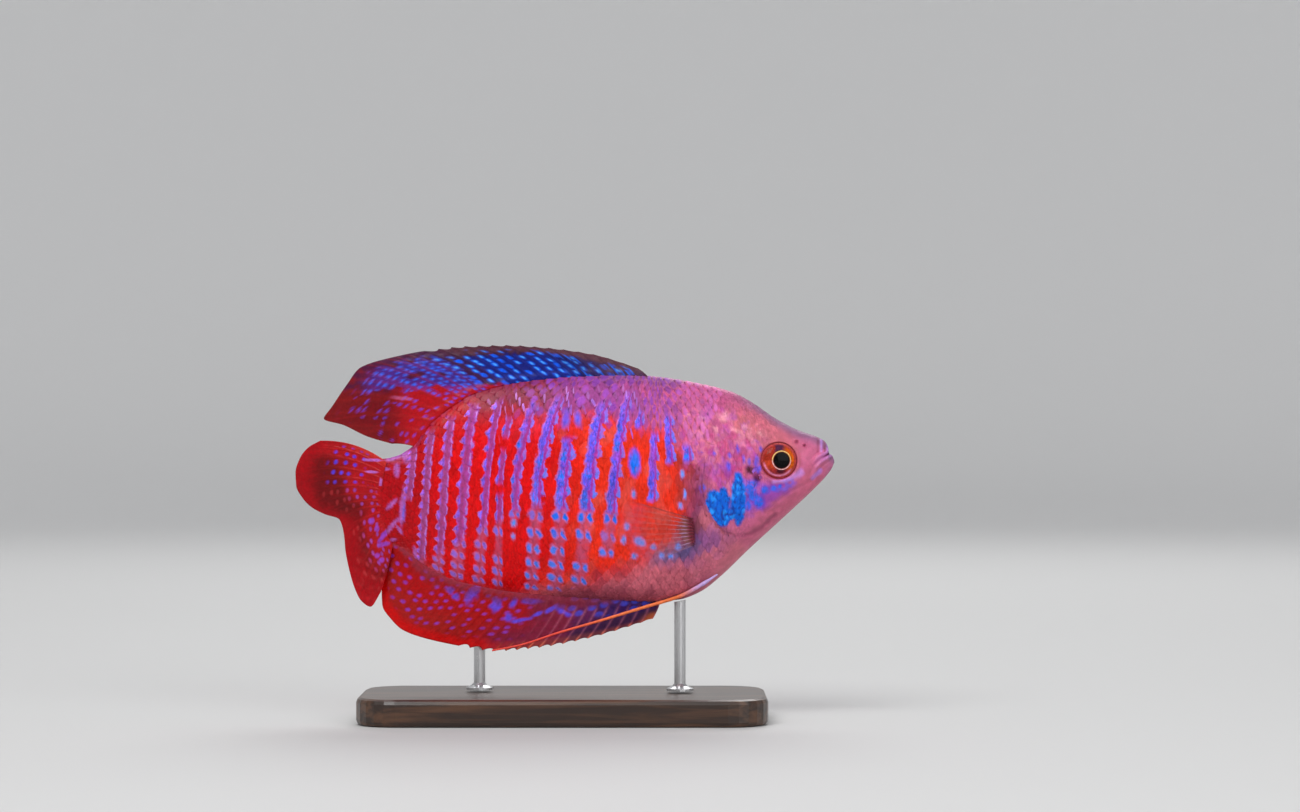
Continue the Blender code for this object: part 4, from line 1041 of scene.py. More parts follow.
def paint_azure(tint, x, z):
    """The brilliant blue patch on the gill cover, made of glassy cells, and the dark spot over it."""
    inside, number = cells(x, z, 0.9, 14)
    fine = waver(x, z, 0.7, 4)
    tint = paint_blots(tint, MAROON_BLOTS, x, z, 0.25 * fine, (MAROON, 1.0, 1.4, 0.5))
    tint = paint_blots(tint, CHEEK_STREAKS, x, z, 0.2 * fine, (CHEEK_BLUE, 0.85, 1.4, 0.5))
    patch, bits = in_nearest(AZURE_BLOTS, x, z), in_nearest(AZURE_CELLS, x, z)
    gap = smooth(0.13, 0.06, np.abs(x - 24.45 - 0.06 * (z - 31))) * smooth(29.6, 30.4, z)
    share = smooth(1.12, 0.92, patch + 0.1 * fine) * smooth(0.0, 0.2, x - gill_line(z)) * (1 - 0.5 * gap)
    bright = smooth(1.15, 0.6, bits + 0.3 * fine) * smooth(0.0, 0.14, inside) * (1 - share)
    return covers(
        tint,
        (AZURE_DARK, 0.98 * share),
        (AZURE_DEEP, 0.9 * share * smooth(0.0, 0.08, inside)),
        (CELL_SHADE, 0.55 * smooth(2.0, 0.9, bits + 0.5 * fine) * (1 - share)),
        (CELL_BLUE, 0.85 * bright),
        (AZURE, share * smooth(0.03, 0.3, inside) * (0.5 + 0.5 * number)),
        (AZURE_LIGHT, 0.6 * share * smooth(0.15, 0.5, inside) * (number > 0.62)))


def paint_flesh(x, z):
    """The skin's colour at any place."""
    edge = x - gill_line(z)
    # Painted shade in the gap under the gill cover's free edge
    gap = smooth(-0.55, -0.15, edge) * smooth(0.0, -0.15, edge) * smooth(43, 38, z) * covered(z)
    return paint_azure(paint_spots(cover(paint_base(x, z), MAROON, 0.6 * gap), x, z), x, z)


def make_skin(height):
    """One skin from the snout to the root of the tail, closed along the back and the belly."""
    finish = skin_material()
    heights = 170
    turn = np.linspace(-math.pi / 2, math.pi / 2, heights)
    spread = 0.7 * np.sin(turn) + 0.3 * np.linspace(-1, 1, heights)
    # Each station lies between two lines, at a share of the way from the rear one to the front one
    stations = [(tail_end, cover_foot, s) for s in np.linspace(0, 1, 90)[:-1]]
    stations += [(gill_line, snout_end, s) for s in 1 - (1 - np.linspace(0, 1, 175)) ** 1.35]
    x, z = np.empty((2, len(stations), heights))
    for i, (rear, front, s) in enumerate(stations):
        def station(at):
            return (1 - s) * rear(at) + s * front(at)
        low, high = section_ends(station)
        z[i] = (low + high) / 2 + spread * (high - low) / 2
        x[i] = station(z[i])
    half = skin_half(x, z)
    sides = [np.stack([x, sway(x) + side * half, z], axis=-1) for side in (-1, 1)]
    points, faces = closed_sheets(*sides)
    column, row = lattice_at(height, x, z)
    looks = (paint_flesh(x, z), *bar_looks(x, z, column, row, x > gill_line(z)))
    tint, lattice, manner, ribbon, vivid = (np.tile(v.reshape(-1, 3), (2, 1)) for v in looks)
    colours = {"tint": tint, "ribbon": ribbon, "vivid": vivid}
    skin = make_object("skin", points, faces, finish, colours, vectors={"lattice": lattice, "manner": manner})
    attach(skin, "root")
    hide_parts("head", "lower_jaw", "gill_cover_right", "gill_cover_left", "trunk", "tail_stem")


def section_table():
    """A function that gives the height at a share of the way up the skin, from belly to back, at x."""
    xs = np.linspace(-27.6, 39.5, 240)
    shares = np.linspace(0, 1, 97)
    table = np.empty((len(xs), len(shares)))
    for i, x in enumerate(xs):
        low, high = belly_line(x), back_line(x)
        z = (low + high) / 2 + np.sin(np.linspace(-math.pi / 2, math.pi / 2, 161)) * (high - low) / 2
        w = solid_half(np.full_like(z, x), z)
        run = np.concatenate([[0.0], np.cumsum(np.hypot(np.diff(z), np.diff(w)))])
        table[i] = np.interp(shares * run[-1], run, z)

    def height(x, share):
        gx = np.clip((x - xs[0]) / (xs[1] - xs[0]), 0, len(xs) - 1.001)
        gs = np.clip(share, 0, 1) * (len(shares) - 1.001)
        i, j = gx.astype(int), gs.astype(int)
        fx, fs = gx - i, gs - j
        return ((table[i, j] * (1 - fs) + table[i, j + 1] * fs) * (1 - fx)
                + (table[i + 1, j] * (1 - fs) + table[i + 1, j + 1] * fs) * fx)

    return height


def risen(z):
    """The height over the leaning bars' level, counted more near the back."""
    return z - LEAN_LEVEL + BEND * np.clip(z - BEND_LEVEL, 0, None) ** 2


def lattice_place(height, column, row):
    """Where a column and row of the scale lattice meet on the skin, as x and z."""
    share = row / ROWS - ROW_CROWDING / (2 * math.pi) * np.sin(2 * math.pi * row / ROWS)
    straight = column_x(column)
    x = straight
    for _ in range(4):
        z = height(x, share)
        rise = risen(z)
        x = straight + rise * np.where(rise > 0, lean_over(straight), lean_under(straight))
    return x, z


def lattice_at(height, x, z):
    """The column and row of the scale lattice at places on the skin."""
    low, high = np.zeros_like(x), np.ones_like(x)
    for _ in range(16):
        middle = (low + high) / 2
        under = height(x, middle) < z
        low, high = np.where(under, middle, low), np.where(under, high, middle)
    rows = np.linspace(0, ROWS, 400)
    row = np.interp(low, rows / ROWS - ROW_CROWDING / (2 * math.pi) * np.sin(2 * math.pi * rows / ROWS), rows)
    straight, rise = x, risen(z)
    for _ in range(9):
        straight = x - rise * np.where(rise > 0, lean_over(straight), lean_under(straight))
    columns = np.linspace(0, 2 * len(BARS) - 2, 900)
    return np.interp(straight, column_x(columns), columns), row


def scale_template():
    """A scale's own grid: how far along it each point lies, how far across, and how near its free rim."""
    a = np.linspace(0, 1, SCALE_CELLS + 1) ** 0.85
    b = np.sin(np.linspace(-math.pi / 2, math.pi / 2, SCALE_CELLS + 1))
    a, b = np.meshgrid(a, b, indexing="ij")
    taper = np.clip((a - 0.3) / 0.7, 0, 1)
    width = 0.06 + 0.94 * (1 - taper ** 2.0) ** 0.62
    rim = np.maximum(np.abs(b) ** 3 * smooth(0.2, 0.5, a), smooth(0.6, 1.0, a) * 1.0)
    return a, b * width, rim


# Each kind of scale's mark and painted tip highlight: middle along and across, half sizes, and slant
MARKS = {
    "stroke": ((0.83, -0.02, 0.06, 0.86, 0.19), (0.74, -0.62, 0.085, 0.30, 0.14)),
    "core": ((0.74, 0.0, 0.17, 0.62, 0.05), (0.92, 0.22, 0.05, 0.28, -0.15)),
}
KINDS = list(MARKS)


def bar_reach(number, z):
    """How much of bar number is painted at a height."""
    reach = np.zeros(np.shape(z))
    for i, (_, spans) in enumerate(BARS):
        for low, top in spans:
            here = smooth(low - 0.5, low + 0.5, z) * smooth(top + 0.8, top - 0.8, z)
            reach = np.where(number == i, np.maximum(reach, here), reach)
    return reach


def bar_looks(x, z, column, row, on_head):
    """What the bars need at each place: its lattice, their manner, and their two colours."""
    rough = waver(x, z, 0.8, 15)
    reach = np.where(on_head, 0.0, bar_reach(np.round(column / 2), z))
    low = smooth(0.7, -0.7, z - pairs_top(x) + 0.4 * rough)
    streak = smooth(-10, -2, x) * smooth(29, 31, z)
    back = smooth(7.5, 3.0, back_line(x) - z) * smooth(-12, -4, x)
    ribbon = covers(
        plain(RIBBON_REAR, x),
        (RIBBON_MID, smooth(-20, -12, x)),
        (RIBBON_FRONT, smooth(-8, 2, x)),
        (RIBBON_LOW, low),
        (MAUVE, 0.7 * back))
    ribbon = ribbon * (1 + 0.16 * waver(x, z, 0.6, 12)[..., None])
    patch, broad = waver(x, z, 1.3, 17), waver(x, z, 2.2, 16)
    vivid = covers(
        plain(VIVID_REAR, x),
        (VIVID_MID, smooth(-19, -10, x)),
        (VIVID_FRONT, smooth(-8, 0, x)),
        (STREAK_VIOLET, streak * smooth(-0.1, -0.7, broad)),
        (BRILLIANT, smooth(0.05, 0.5, patch) * smooth(-12, -5, x) * smooth(27, 30, z)),
        (BRILLIANT, 0.85 * smooth(-11, -7, x) * smooth(26.5, 28.5, z) * smooth(34.5, 32, z + rough)),
        (SPOT_REAR, 0.85 * low * smooth(-8, -11, x)),
        (SPOT, 0.85 * low * smooth(-12, -6, x) * smooth(28.5, 26.5, z + 0.6 * rough)),
        (VIVID_BACK, 0.75 * back))
    lattice = np.stack([column, row, reach * (1 - 0.3 * back)], axis=-1)
    return lattice, np.stack([streak, low, np.zeros_like(x)], axis=-1), ribbon, vivid


def scale_looks(cx, cz, column, row, x, z):
    """For every scale: its ground at each point, the colours and strengths of its mark and its painted tip
    highlight, and its kind.
    """
    lucky, second, third, fourth = (hashed(np.round(column * 2), row, seed) for seed in (1, 2, 3, 4))
    on_head = cx > gill_line(cz)
    own = paint_base(cx, cz)
    edge = gill_line(z)
    side_of_edge = np.where(on_head[:, None, None], np.maximum(x, edge + 0.12), np.minimum(x, edge - 0.12))
    around = np.where(cz[:, None, None] < 39, side_of_edge, x)
    ground = 0.55 * paint_base(around, z) + 0.45 * own[:, None, None]
    ground = paint_spots(ground * (0.88 + 0.24 * lucky[:, None, None, None]), x, z)
    deep, high = back_line(cx) - cz, cz - belly_line(cx)
    number = np.round((column - 0.2) / 2)
    reach = np.where(on_head, 0.0, bar_reach(number, cz))
    kind = np.full(len(cx), KINDS.index("core"))
    # Each scale's painted highlight near its tip is lighter than its ground
    mark, tip_highlight = own * (0.5 + 0.35 * second[:, None]), own * (1.0 + 0.3 * third[:, None])
    mark_share, tip_highlight_share = 0.3 * third, 0.2 * fourth * (deep < 14)
    # How strongly the painted shade along each scale's free rim is drawn
    line = 0.12 + 0.24 * smooth(11, 17, cx) + 0.12 * smooth(5.5, 3.0, high) * smooth(-6, 2, cx)
    line = np.where(on_head, 0.2 + 0.3 * smooth(42, 46, cz), line)
    mauve = np.where(on_head, 0.0, smooth(9.5, 5.0, deep - 0.12 * (cx - 5)) * smooth(-12, -3, cx))
    is_mauve = mauve > 0.25
    core = cover(plain(MAUVE_CORE, cx), SHOULDER_CORE, smooth(15.5, 20, cx))
    mark = np.where(is_mauve[:, None], core * (0.7 + 0.5 * third[:, None]), mark)
    # On the mauve back the painted tip highlight is pale pink
    tip_highlight = np.where(is_mauve[:, None], linear(BACK_HIGHLIGHT_PINK) * (0.7 + 0.5 * second[:, None]), tip_highlight)
    mark_share = np.where(is_mauve, mauve * (0.35 + 0.4 * second) * smooth(-12, -2, cx), mark_share)
    tip_highlight_share = np.where(is_mauve, 0.4 * mauve * fourth * smooth(-7, 2, cx), tip_highlight_share)
    line = np.maximum(line, 0.6 * mauve) * smooth(25.5, 20.5, cx - 0.9 * (cz - 24))
    wisp = ~on_head & (cx > -14) & (cx < 12) & (deep > 1.6) & (deep < 7.0 + 2.0 * second)
    wisp &= (lucky < 0.62) & (reach < 0.6)
    calm = (reach > 0.3) & (np.abs(column - 2 * number) < 0.9)
    mark_share, tip_highlight_share = (np.where(calm, 0.25 * share, share) for share in (mark_share, tip_highlight_share))
    kind = np.where(wisp, KINDS.index("stroke"), kind)
    thread = cover(plain(STROKE, cx), STROKE_FRONT, smooth(2.0, 5.0, deep) * smooth(-8, -3, cx))
    mark = np.where(wisp[:, None], thread * (0.75 + 0.4 * third[:, None]), mark)
    mark_share = np.where(wisp, (0.1 + 0.6 * third) * smooth(-15, -5, cx), mark_share)
    tip_highlight_share = tip_highlight_share * ~wisp
    cell = on_head & (in_nearest(AZURE_BLOTS + AZURE_CELLS, cx, cz) < 1.5)
    glazed = (on_head & (cz > 28.9) & (cz < 41.5))[:, None, None, None]
    ground = np.where(glazed, paint_azure(ground, x, z), ground)
    mark_share, tip_highlight_share = np.where(cell, 0.0, mark_share), np.where(cell, 0.0, tip_highlight_share)
    return ground, mark, tip_highlight, mark_share, tip_highlight_share, kind, np.where(cell, 0.25, line), on_head | is_mauve


def mark_places(a, b, kind, strength, which, jitter):
    """Where each point of every scale lies from the middle of its mark, in the mark's half sizes."""
    numbers = np.array([MARKS[name][which] for name in KINDS])[kind]
    ma, mb, ra, rb, slant = (numbers[:, i, None, None] for i in range(5))
    first, second, third = (value[:, None, None] for value in jitter)
    mb = mb + 0.24 * first
    db = b - mb
    da = a - ma - 0.05 * second - (slant + 0.16 * third) * db
    long, wide = 1 + 0.55 * first, 1 + 0.45 * second
    strength = np.broadcast_to(strength[:, None, None], da.shape)
    return np.stack([da / (ra * wide), db / (rb * long), strength], axis=-1)


def make_scales(side, name, in_front, height, finish):
    """Half the coat of one side: overlapping plates, each tilted so that its tip lies over the next ones."""
    a, b, rim = scale_template()
    places = [(k + 0.5 * (row % 2), row) for row in range(1, ROWS) for k in range(2 * len(BARS) - 2)]
    column, row = np.array(places, float).T
    cx, cz = lattice_place(height, column, row)
    tip_x = cx - (column_x(column) - column_x(column - SCALE_TIP))
    edge_x = gill_line(cz)
    free = covered(cz) > 0.3
    kept = (tip_x > tail_end(cz) - 0.9) & (scaled(cx, cz) > 0.35)
    kept &= ~((cx > edge_x) & (tip_x < edge_x + 0.15) & free) & ((column > FRONT_COLUMN) == in_front)
    column, row, cx, cz, free = (v[kept] for v in (column, row, cx, cz, free))
    count, (rows, cols) = len(cx), a.shape
    wander = 0.06 * (hashed(column * 2, row, 7) - 0.5)
    q = column[:, None, None] + SCALE_ROOT - a * (SCALE_ROOT + SCALE_TIP) + wander[:, None, None]
    r = row[:, None, None] + b * SCALE_HALF
    x, z = lattice_place(height, q, r)
    on_head = cx > gill_line(cz)
    behind = (~on_head & free)[:, None, None]
    x = np.where(behind, np.minimum(x, gill_line(z) + 0.25), x)
    relief = scaled(cx, cz) * (0.85 + 0.3 * hashed(column * 2, row, 8)) * np.where(on_head, 0.6, 1.0)
    lift = COAT * relief[:, None, None] * (a ** 1.2 * (1 - 0.2 * b * b)) - 0.02 * (1 - a)
    ground, mark, tip_highlight, mark_share, tip_highlight_share, kind, line, bowed = scale_looks(cx, cz, column, row, x, z)
    lattice, manner, ribbon, vivid = bar_looks(x, z, q, r, on_head[:, None, None])
    jitter = [hashed(column * 2, row, seed) - 0.5 for seed in (9, 10, 11)]
    spot, other = (mark_places(a, b, kind, share, which, jitter)
                   for which, share in enumerate((mark_share, tip_highlight_share)))
    top = surface(side, x, z, lift)
    low = surface(side, x, z, lift - 0.06 - 0.05 * rim[None])
    edge = ring_of(rows, cols)
    ring = np.arange(len(edge))
    per, every = rows * cols, rows * cols + len(edge)
    wall = np.stack([edge, np.roll(edge, -1), per + np.roll(ring, -1), per + ring], axis=-1)
    one = np.concatenate([grid_faces(rows, cols, 0, side > 0), wall[:, ::-1] if side > 0 else wall])
    start = every * np.arange(count)
    faces = (one[None] + start[:, None, None]).reshape(-1, 4).tolist()
    under = per + (ring if side > 0 else ring[::-1])
    faces += (under[None] + start[:, None]).tolist()

    def both(values):
        flat = values.reshape(count, per, -1)
        return np.concatenate([flat, flat[:, edge]], axis=1).reshape(every * count, -1)

    def each(values):
        return np.repeat(values, every, axis=0)

    points = [top.reshape(count, per, 3), low.reshape(count, per, 3)[:, edge]]
    points = np.concatenate(points, axis=1).reshape(-1, 3)
    # The painted shade along each scale's free rim, bowed into an arc on the head and the mauve back
    bow = smooth(0.66, 1.0, a) * (1 - 0.75 * b * b)
    painted_rim_shade = np.where(bowed[:, None, None], bow, rim) * line[:, None, None] / 0.6
    colours = {"ground": both(ground), "mark": each(mark), "tip_highlight": each(tip_highlight), "ribbon": both(ribbon),
               "vivid": both(vivid)}
    vectors = {"spot": both(spot), "second": both(other), "lattice": both(lattice), "manner": both(manner)}
    made = make_object(name, points, faces, finish, colours, {"rim": both(painted_rim_shade)}, vectors)
    root_u = 0.25 + 0.5 * (side > 0) + 0.0034 * (cx - 6)
    root_v = 0.1 + 0.8 * row / ROWS
    uv = np.stack([root_u[:, None, None] + 0.003 * (a - 0.5), root_v[:, None, None] + 0.0015 * b], axis=-1)
    layer = made.data.uv_layers.new(name="OFBake")
    corners = np.empty(len(made.data.loops), np.int32)
    made.data.loops.foreach_get("vertex_index", corners)
    layer.data.foreach_set("uv", both(uv)[corners].astype(np.float32).ravel())
    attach(made, "root")
    print(name, count, "scales", sum(p.loop_total - 2 for p in made.data.polygons), "triangles")


def make_eye(side, name, finish):
    """An eyeball: a flat dome with a painted iris, the pupil's ring and the pupil set a little forwards."""
    ex, ey, ez = EYE_CENTRE
    rings, spokes = 56, 96
    out = np.linspace(0.0, 1.0, rings)[:, None] * (math.pi / 2)
    turn = np.linspace(0, 2 * math.pi, spokes, endpoint=False)[None, :]
    px = EYE_RADIUS * np.sin(out) * np.cos(turn)
    pz = EYE_RADIUS * np.sin(out) * np.sin(turn)
    bulge = EYE_DEPTH * np.cos(out) * np.ones_like(turn)
    pupil_x, pupil_z = PUPIL_PLACE
    pupil = np.hypot(px - pupil_x, pz - pupil_z)
    bulge = bulge + 0.07 * smooth(1.5, 1.1, pupil)
    points = np.stack([ex + px, side * (ey + bulge - 0.17 * px), ez + pz], axis=-1)
    away = np.hypot(px, pz)
    angle = np.degrees(np.arctan2(pz - pupil_z, px - pupil_x))
    grit = waver(px + 9, pz + 9, 0.24, 11)
    top = smooth(0.95, 0.35, np.abs(px - 0.1) + 0.2 * grit - 0.1 * (pz - 1.6)) * smooth(0.9, 1.2, pz)
    below = smooth(0.95, 0.3, np.abs(px - 0.3) + 0.2 * grit) * smooth(-0.9, -1.2, pz) * smooth(-2.1, -1.7, pz)
    tint = covers(
        plain(IRIS, px),
        (IRIS_ORANGE, smooth(95, 25, np.abs(angle - 14) + 20 * grit) * 0.9),
        (IRIS_COPPER, 0.7 * smooth(40, 15, np.abs(angle + 160))),
        (IRIS_RIM, 0.6 * smooth(2.1, 2.4, away)),
        (IRIS_LOW, 0.7 * smooth(0.1, 0.6, -pz - 0.9)),
        (EYE_BAR_TOP, 0.92 * top * smooth(2.62, 2.45, away)),
        (EYE_BAR_LOW, 0.85 * below),
        (EYE_CRESCENT, 0.85 * (bell(away - 2.16, 0.15) * smooth(-0.5, -1.2, pz + 0.25 * px))),
        (EYE_MARGIN, 0.9 * smooth(2.25, 2.5, away)),
        (PUPIL_SHADE, 0.8 * smooth(1.5, 1.38, pupil)))
    ring_tone = np.where(pz[..., None] > 0.1, linear(PUPIL_RING_TOP), linear(PUPIL_RING_LOW))
    ring = (smooth(1.44, 1.38, pupil) * smooth(1.25, 1.31, pupil))[..., None]
    tint = tint * (1 - ring) + ring_tone * ring
    tint = cover(tint, PUPIL, smooth(1.22, 1.15, pupil))
    tint = tint * (1 + 0.12 * grit[..., None])
    shell = points.reshape(-1, 3)
    back = shell[-spokes:].copy()
    back[:, 1] -= side * 0.5
    back[:, 0] = ex + (back[:, 0] - ex) * 0.6
    back[:, 2] = ez + (back[:, 2] - ez) * 0.6
    faces = tube_faces(rings + 1, spokes, side > 0)
    colours = np.concatenate([tint.reshape(-1, 3), np.tile(linear(MAROON), (spokes, 1))])
    eye = make_object(name, np.concatenate([shell, back]), faces, finish, {"tint": colours})
    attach(eye, "root")
    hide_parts(name)


def rooted(line, side, roots):
    """Where ray number u stands: on the back (side 1) or the belly (side -1)."""
    place = curve(roots)

    def root(u):
        x = place(u)
        slope = (line(x + 0.05) - line(x - 0.05)) / 0.1
        size = np.hypot(slope, 1.0)
        sink = GAP - FIN_SINK
        return x - slope * side / size * sink, line(x) + side / size * sink

    return root


def tips(points):
    """Where ray number u ends."""
    across, up = curve([(u, x) for u, x, _ in points]), curve([(u, z) for u, _, z in points])
    return lambda u: (across(u), up(u))


def fin_places(rays, per_ray, rows, root, tip, bow, spines=0, swell_at_root=0.3, taper=0.9):
    """The side view of a fin as grids: ray number, share of the way out, x, z, length and half thickness."""
    u = np.linspace(0, rays - 1, (rays - 1) * per_ray + 1)[:, None]
    t = np.linspace(0, 1, rows + 1)[None, :]
    between = np.abs(np.sin(math.pi * u))
    reach = t * (1 - NOTCH * between * (u < spines - 1))
    (x0, z0), (x1, z1) = root(u), tip(u)
    dx, dz = x1 - x0, z1 - z0
    swell = 4 * reach * (1 - reach) * bow(u)
    x = x0 + reach * dx + swell * dz
    z = z0 + reach * dz - swell * dx
    length = np.hypot(dx, dz)
    u = np.broadcast_to(u, x.shape)
    t = np.broadcast_to(t, x.shape)
    off = np.abs(u - np.round(u))
    soft = u > spines - 0.5
    fork = np.where(soft, 0.2 * smooth(0.35, 0.95, t), 0.0)
    wide = np.where(soft, 0.12 - 0.04 * t, 0.15 - 0.06 * t)
    ridge = bell(off - fork, wide)
    jointed = smooth(0.25, 0.6, np.abs(np.sin(math.pi * reach * length / JOINT)))
    joints = np.where(soft, 0.75 + 0.25 * jointed, 1.0)
    web = WEB + (FIN_EDGE - WEB) * smooth(0.55, 1.0, t)
    half = web + RAY * ridge * joints * (1 - 0.8 * smooth(0.6, 1.0, t)) * smooth(0.0, 0.06, t)
    half = half + swell_at_root * bell(np.clip(reach * length - FIN_SINK, 0, None), taper)
    ripple = 0.03 * np.sin(reach * length * 4.0 + 3 * u) * between
    return u, t, x, z, reach * length, half, ridge, ripple


def median_fin(name, grids, tint, wave, finish):
    """A fin in the fish's middle plane, whose margin waves to the sides."""
    u, t, x, z, _, half, _, ripple = grids
    plane = sway(x) + wave(u) * t ** 1.5 + ripple * smooth(0.1, 0.4, t)
    sides = [np.stack([x, plane + side * half, z], axis=-1) for side in (-1, 1)]
    points, faces = closed_sheets(*sides)
    tint = tint.reshape(-1, 3)
    fin = make_object(name, points, faces, finish, {"tint": np.concatenate([tint, tint])})
    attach(fin, "root")
    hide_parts(name)


def spots_between(u, run, pitch, phase, half_across, half_along, seed):
    """Rows of spots on the web between the rays: how much each point is inside one, and its random number."""
    web = np.floor(u)
    place = run / pitch - phase * web
    number = np.round(place)
    across = u - web - 0.5 - 0.16 * (hashed(web, number, seed + 2) - 0.5)
    shift = 0.5 * (hashed(web, number, seed) - 0.5)
    off = (place - number - shift) * pitch
    away = np.hypot(across / half_across, off / half_along)
    return smooth(1.3, 0.6, away), hashed(web, number, seed + 1)


def make_dorsal(finish):
    """The dorsal fin: blue dashes over its spiny part, a red-brown lobe with violet spots behind."""
    root, tip = rooted(back_line, 1, DORSAL_ROOTS), tips(DORSAL_TIPS)
    grids = fin_places(DORSAL_SPINES + DORSAL_SOFT, 10, 54, root, tip, lambda u: DORSAL_BOW, DORSAL_SPINES)
    u, t, x, z, run, _, ridge, _ = grids
    fine = waver(x, z, 0.6, 21)
    below = smooth(49.9, 49.1, z + 0.35 * fine) * smooth(-7.5, -9.5, x)
    low_in_front = 0.24 * smooth(8, 2, u)
    tint = covers(
        plain(DORSAL_DARK, u),
        (DORSAL_NAVY, 0.9 * smooth(0.78, 0.6, t + 0.08 * fine) * smooth(16, 13, u)),
        (DORSAL_NIGHT, 0.8 * smooth(8.0, 5.0, u + fine) * smooth(0.8, 0.6, t)),
        (DORSAL_BROWN, 0.9 * smooth(0.66, 0.88, t + low_in_front + 0.06 * fine)),
        (DORSAL_BROWN, 0.8 * smooth(6.5, 1.0, u + 0.5 * fine)),
        (DORSAL_RED, 0.92 * smooth(14.0, 17.5, u - 1.5 * t + 0.4 * fine)),
        (DORSAL_PLUM, 0.8 * smooth(21.5, 18, u + 2 * fine) * smooth(13, 15, u) * smooth(47.4, 49.4, z)),
        (DORSAL_FOOT, 0.9 * below * smooth(-26.5, -22.0, x)))
    dash, lucky = spots_between(u + 0.1 * fine, run, 1.36, 0.42, 0.25, 0.58, 31)
    shine, _ = spots_between(u + 0.1 * fine, run, 1.36, 0.42, 0.12, 0.36, 31)
    strong = smooth(0.88, 0.74, t + low_in_front + 0.08 * fine) * smooth(18.0, 15.5, u) * smooth(0.2, 1.4, u)
    strong = strong * (lucky < 0.94) * (1 - below)
    front = smooth(8.5, 5.5, u)
    tint = covers(
        tint,
        (DASH_BLUE, (0.7 + 0.28 * lucky) * dash * strong * (1 - 0.65 * front)),
        (DASH_LIGHT, 0.75 * shine * strong * (lucky < 0.6) * (1 - 0.5 * front)))
    thread, lucky = spots_between(2 * u, run, 3.1, 0.3, 0.2, 1.2, 32)
    tint = cover(tint, THREAD_BLUE, 0.8 * thread * strong * front * (lucky < 0.7))
    spot, lucky = spots_between(2.0 * u, run, 1.02, 0.5, 0.32, 0.22, 33)
    high = smooth(47.6, 49.6, z)
    few = smooth(18.0, 20.5, u) * (1 - high)
    rear = smooth(14.8, 16.4, u) * smooth(0.92, 0.8, t) * (lucky < 0.86 - 0.5 * few)
    tint = covers(
        tint,
        (SPOT_VIOLET, (0.85 - 0.35 * smooth(19, 21.5, u)) * spot * rear),
        (DORSAL_INDIGO, 0.65 * rear * high * smooth(-31, -27, x)),
        (DORSAL_SPARK, 0.85 * spot * rear * high * smooth(-31.5, -28.5, x)),
        (SPOT_VIOLET, 0.6 * spot * below * (lucky < 0.3) * smooth(14.8, 13.0, u)),
        (DORSAL_STROKE, 0.55 * smooth(1.2, 0.5, in_blot(DORSAL_BLOT, x, z))),
        (SPINE_DARK, 0.35 * ridge * smooth(0.5, 0.8, t) * smooth(18, 15, u)),
        (DORSAL_RAY, 0.25 * ridge * smooth(15, 17, u)))
    median_fin("dorsal_fin", grids, tint, lambda u: 0.45 * np.sin(u * 0.55), finish)


# Bright blots under the feet of the bars, on the root of the anal fin
ANAL_BLOTS = [(-16.7, 19.2, 0.55, 0.45, 0), (-16.0, 18.3, 0.5, 0.42, 0), (-13.2, 18.9, 0.85, 1.5, -32),
              (-10.0, 16.9, 0.8, 1.1, -35), (-7.4, 17.2, 0.9, 0.5, 40), (-5.0, 17.5, 1.5, 0.42, 4),
              (-8.2, 15.0, 0.5, 0.7, -30), (-6.4, 14.7, 1.7, 0.26, 8), (-3.9, 15.6, 0.9, 0.3, 22),
              (-1.8, 16.4, 1.0, 0.3, 30), (-0.2, 16.0, 1.2, 0.35, -25)]


